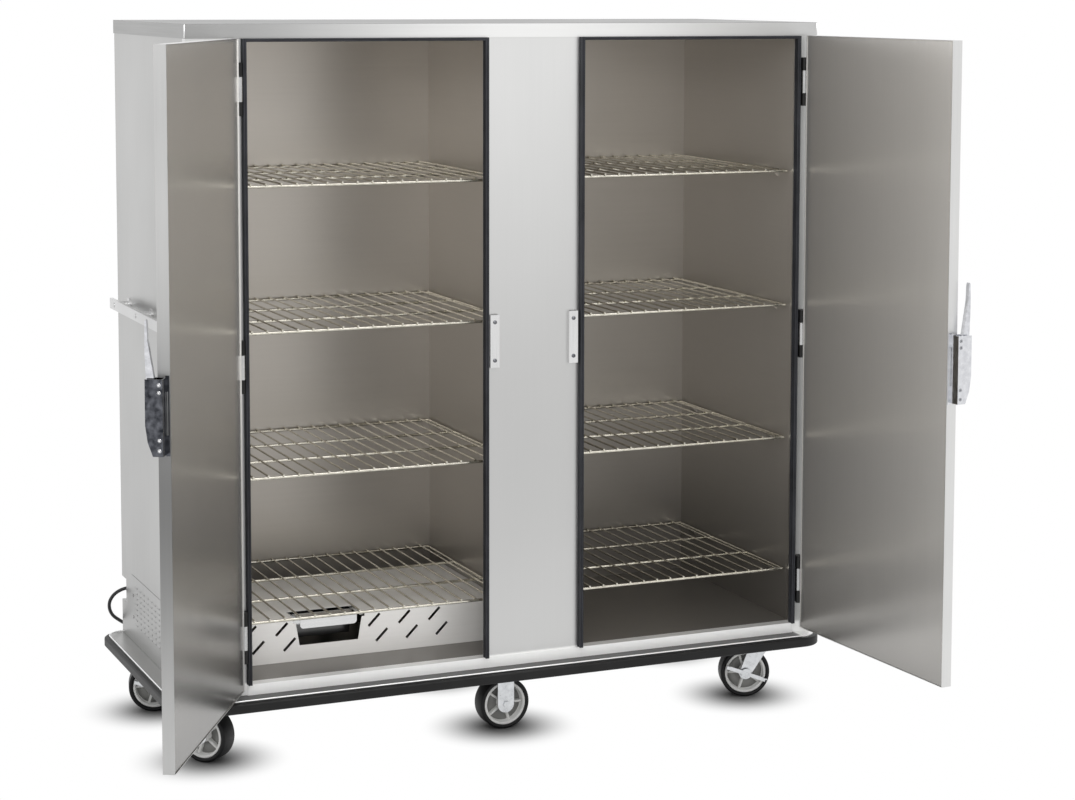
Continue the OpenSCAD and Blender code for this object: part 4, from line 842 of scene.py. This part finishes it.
def lay_floor():
    """A white floor that keeps its real shadow near the casters and goes over to the white background away
    from them, for the camera and for reflections. Near the casters its colour also darkens: a painted shadow
    over the real one."""
    half, low = 9, -0.0005
    points = [(-half, -half, low), (half, -half, low), (half, half, low), (-half, half, low)]
    mesh = bpy.data.meshes.new("studio_floor")
    mesh.from_pydata(points, [], [(0, 1, 2, 3)])
    floor = bpy.data.objects.new("studio_floor", mesh)
    bpy.context.scene.collection.objects.link(floor)
    paint = new_finish("white_studio_floor")
    speck = add(paint, "ShaderNodeTexNoise", {"Scale": 1.0, "Detail": 2.0},
                {"Vector": place_mm(paint, (900, 900, 900))}).outputs["Fac"]
    near = nearest_caster(paint)
    # Painted shadow: the floor's colour goes from grey at the casters to white by 200 mm away.
    close = ramp(paint, near, "8C8C8C", "FFFFFF", (0.03, 0.20))
    plain = add(paint, "ShaderNodeBsdfPrincipled", {"Roughness": 0.9, "Specular IOR Level": 0.0},
                {"Base Color": mixed(paint, "MULTIPLY", ramp(paint, speck, "FAFAFA", "FFFFFF"), close)})
    white = add(paint, "ShaderNodeEmission", {"Strength": 1.0})
    path = add(paint, "ShaderNodeLightPath")
    seen = add(paint, "ShaderNodeMath", operation="MAXIMUM", links={
        0: path.outputs["Is Camera Ray"], 1: path.outputs["Is Glossy Ray"]}).outputs[0]
    fade = add(paint, "ShaderNodeMapRange", {"From Min": 0.03, "From Max": 0.21}, {"Value": near},
               interpolation_type="SMOOTHSTEP").outputs[0]
    share = add(paint, "ShaderNodeMath", links={0: seen, 1: fade}, operation="MULTIPLY").outputs[0]
    blend = add(paint, "ShaderNodeMixShader", links={0: share, 1: plain.outputs[0], 2: white.outputs[0]})
    finish_off(paint, blend)
    mesh.materials.append(paint)


def light_world():
    """White where the camera or a reflection looks, and a plain level of light elsewhere."""
    world = bpy.data.worlds.new("studio")
    world.use_nodes = True
    world.node_tree.nodes.clear()
    path = add(world, "ShaderNodeLightPath").outputs
    seen = add(world, "ShaderNodeMath", operation="MAXIMUM",
               links={0: path["Is Camera Ray"], 1: path["Is Glossy Ray"]}).outputs[0]
    clear = add(world, "ShaderNodeMath", operation="MAXIMUM",
                links={0: seen, 1: path["Is Transmission Ray"]}).outputs[0]
    dim = add(world, "ShaderNodeBackground", {"Strength": 0.85, "Color": (1, 1, 1, 1)})
    white = add(world, "ShaderNodeBackground", {"Strength": 1.0, "Color": (1, 1, 1, 1)})
    mix = add(world, "ShaderNodeMixShader", links={0: clear, 1: dim.outputs[0], 2: white.outputs[0]})
    add(world, "ShaderNodeOutputWorld", links={"Surface": mix.outputs[0]})
    bpy.context.scene.world = world


def hang_lamp(name, place, target, size, watts):
    """A soft square lamp that faces a target."""
    lamp = bpy.data.lights.new(name, "AREA")
    lamp.shape = "RECTANGLE"
    lamp.size, lamp.size_y = size
    lamp.energy = watts
    thing = bpy.data.objects.new(name, lamp)
    bpy.context.scene.collection.objects.link(thing)
    place, target = np.array(place, float), np.array(target, float)
    back = (place - target) / np.linalg.norm(place - target)
    side = np.cross([0, 0, 1], back)
    side = side / np.linalg.norm(side)
    turn = np.eye(4)
    turn[:3] = np.column_stack([side, np.cross(back, side), back, place])
    thing.matrix_world = Matrix(turn.tolist())


lay_floor()
light_world()
hang_lamp("front_softbox", (-2.2, -4.5, 3.4), (0, 0, 0.9), (2.4, 2.0), 60)
hang_lamp("top_softbox", (0.6, -1.0, 4.2), (0, 0, 0.5), (3.2, 2.2), 50)

bpy.context.scene.view_settings.view_transform = "Standard"
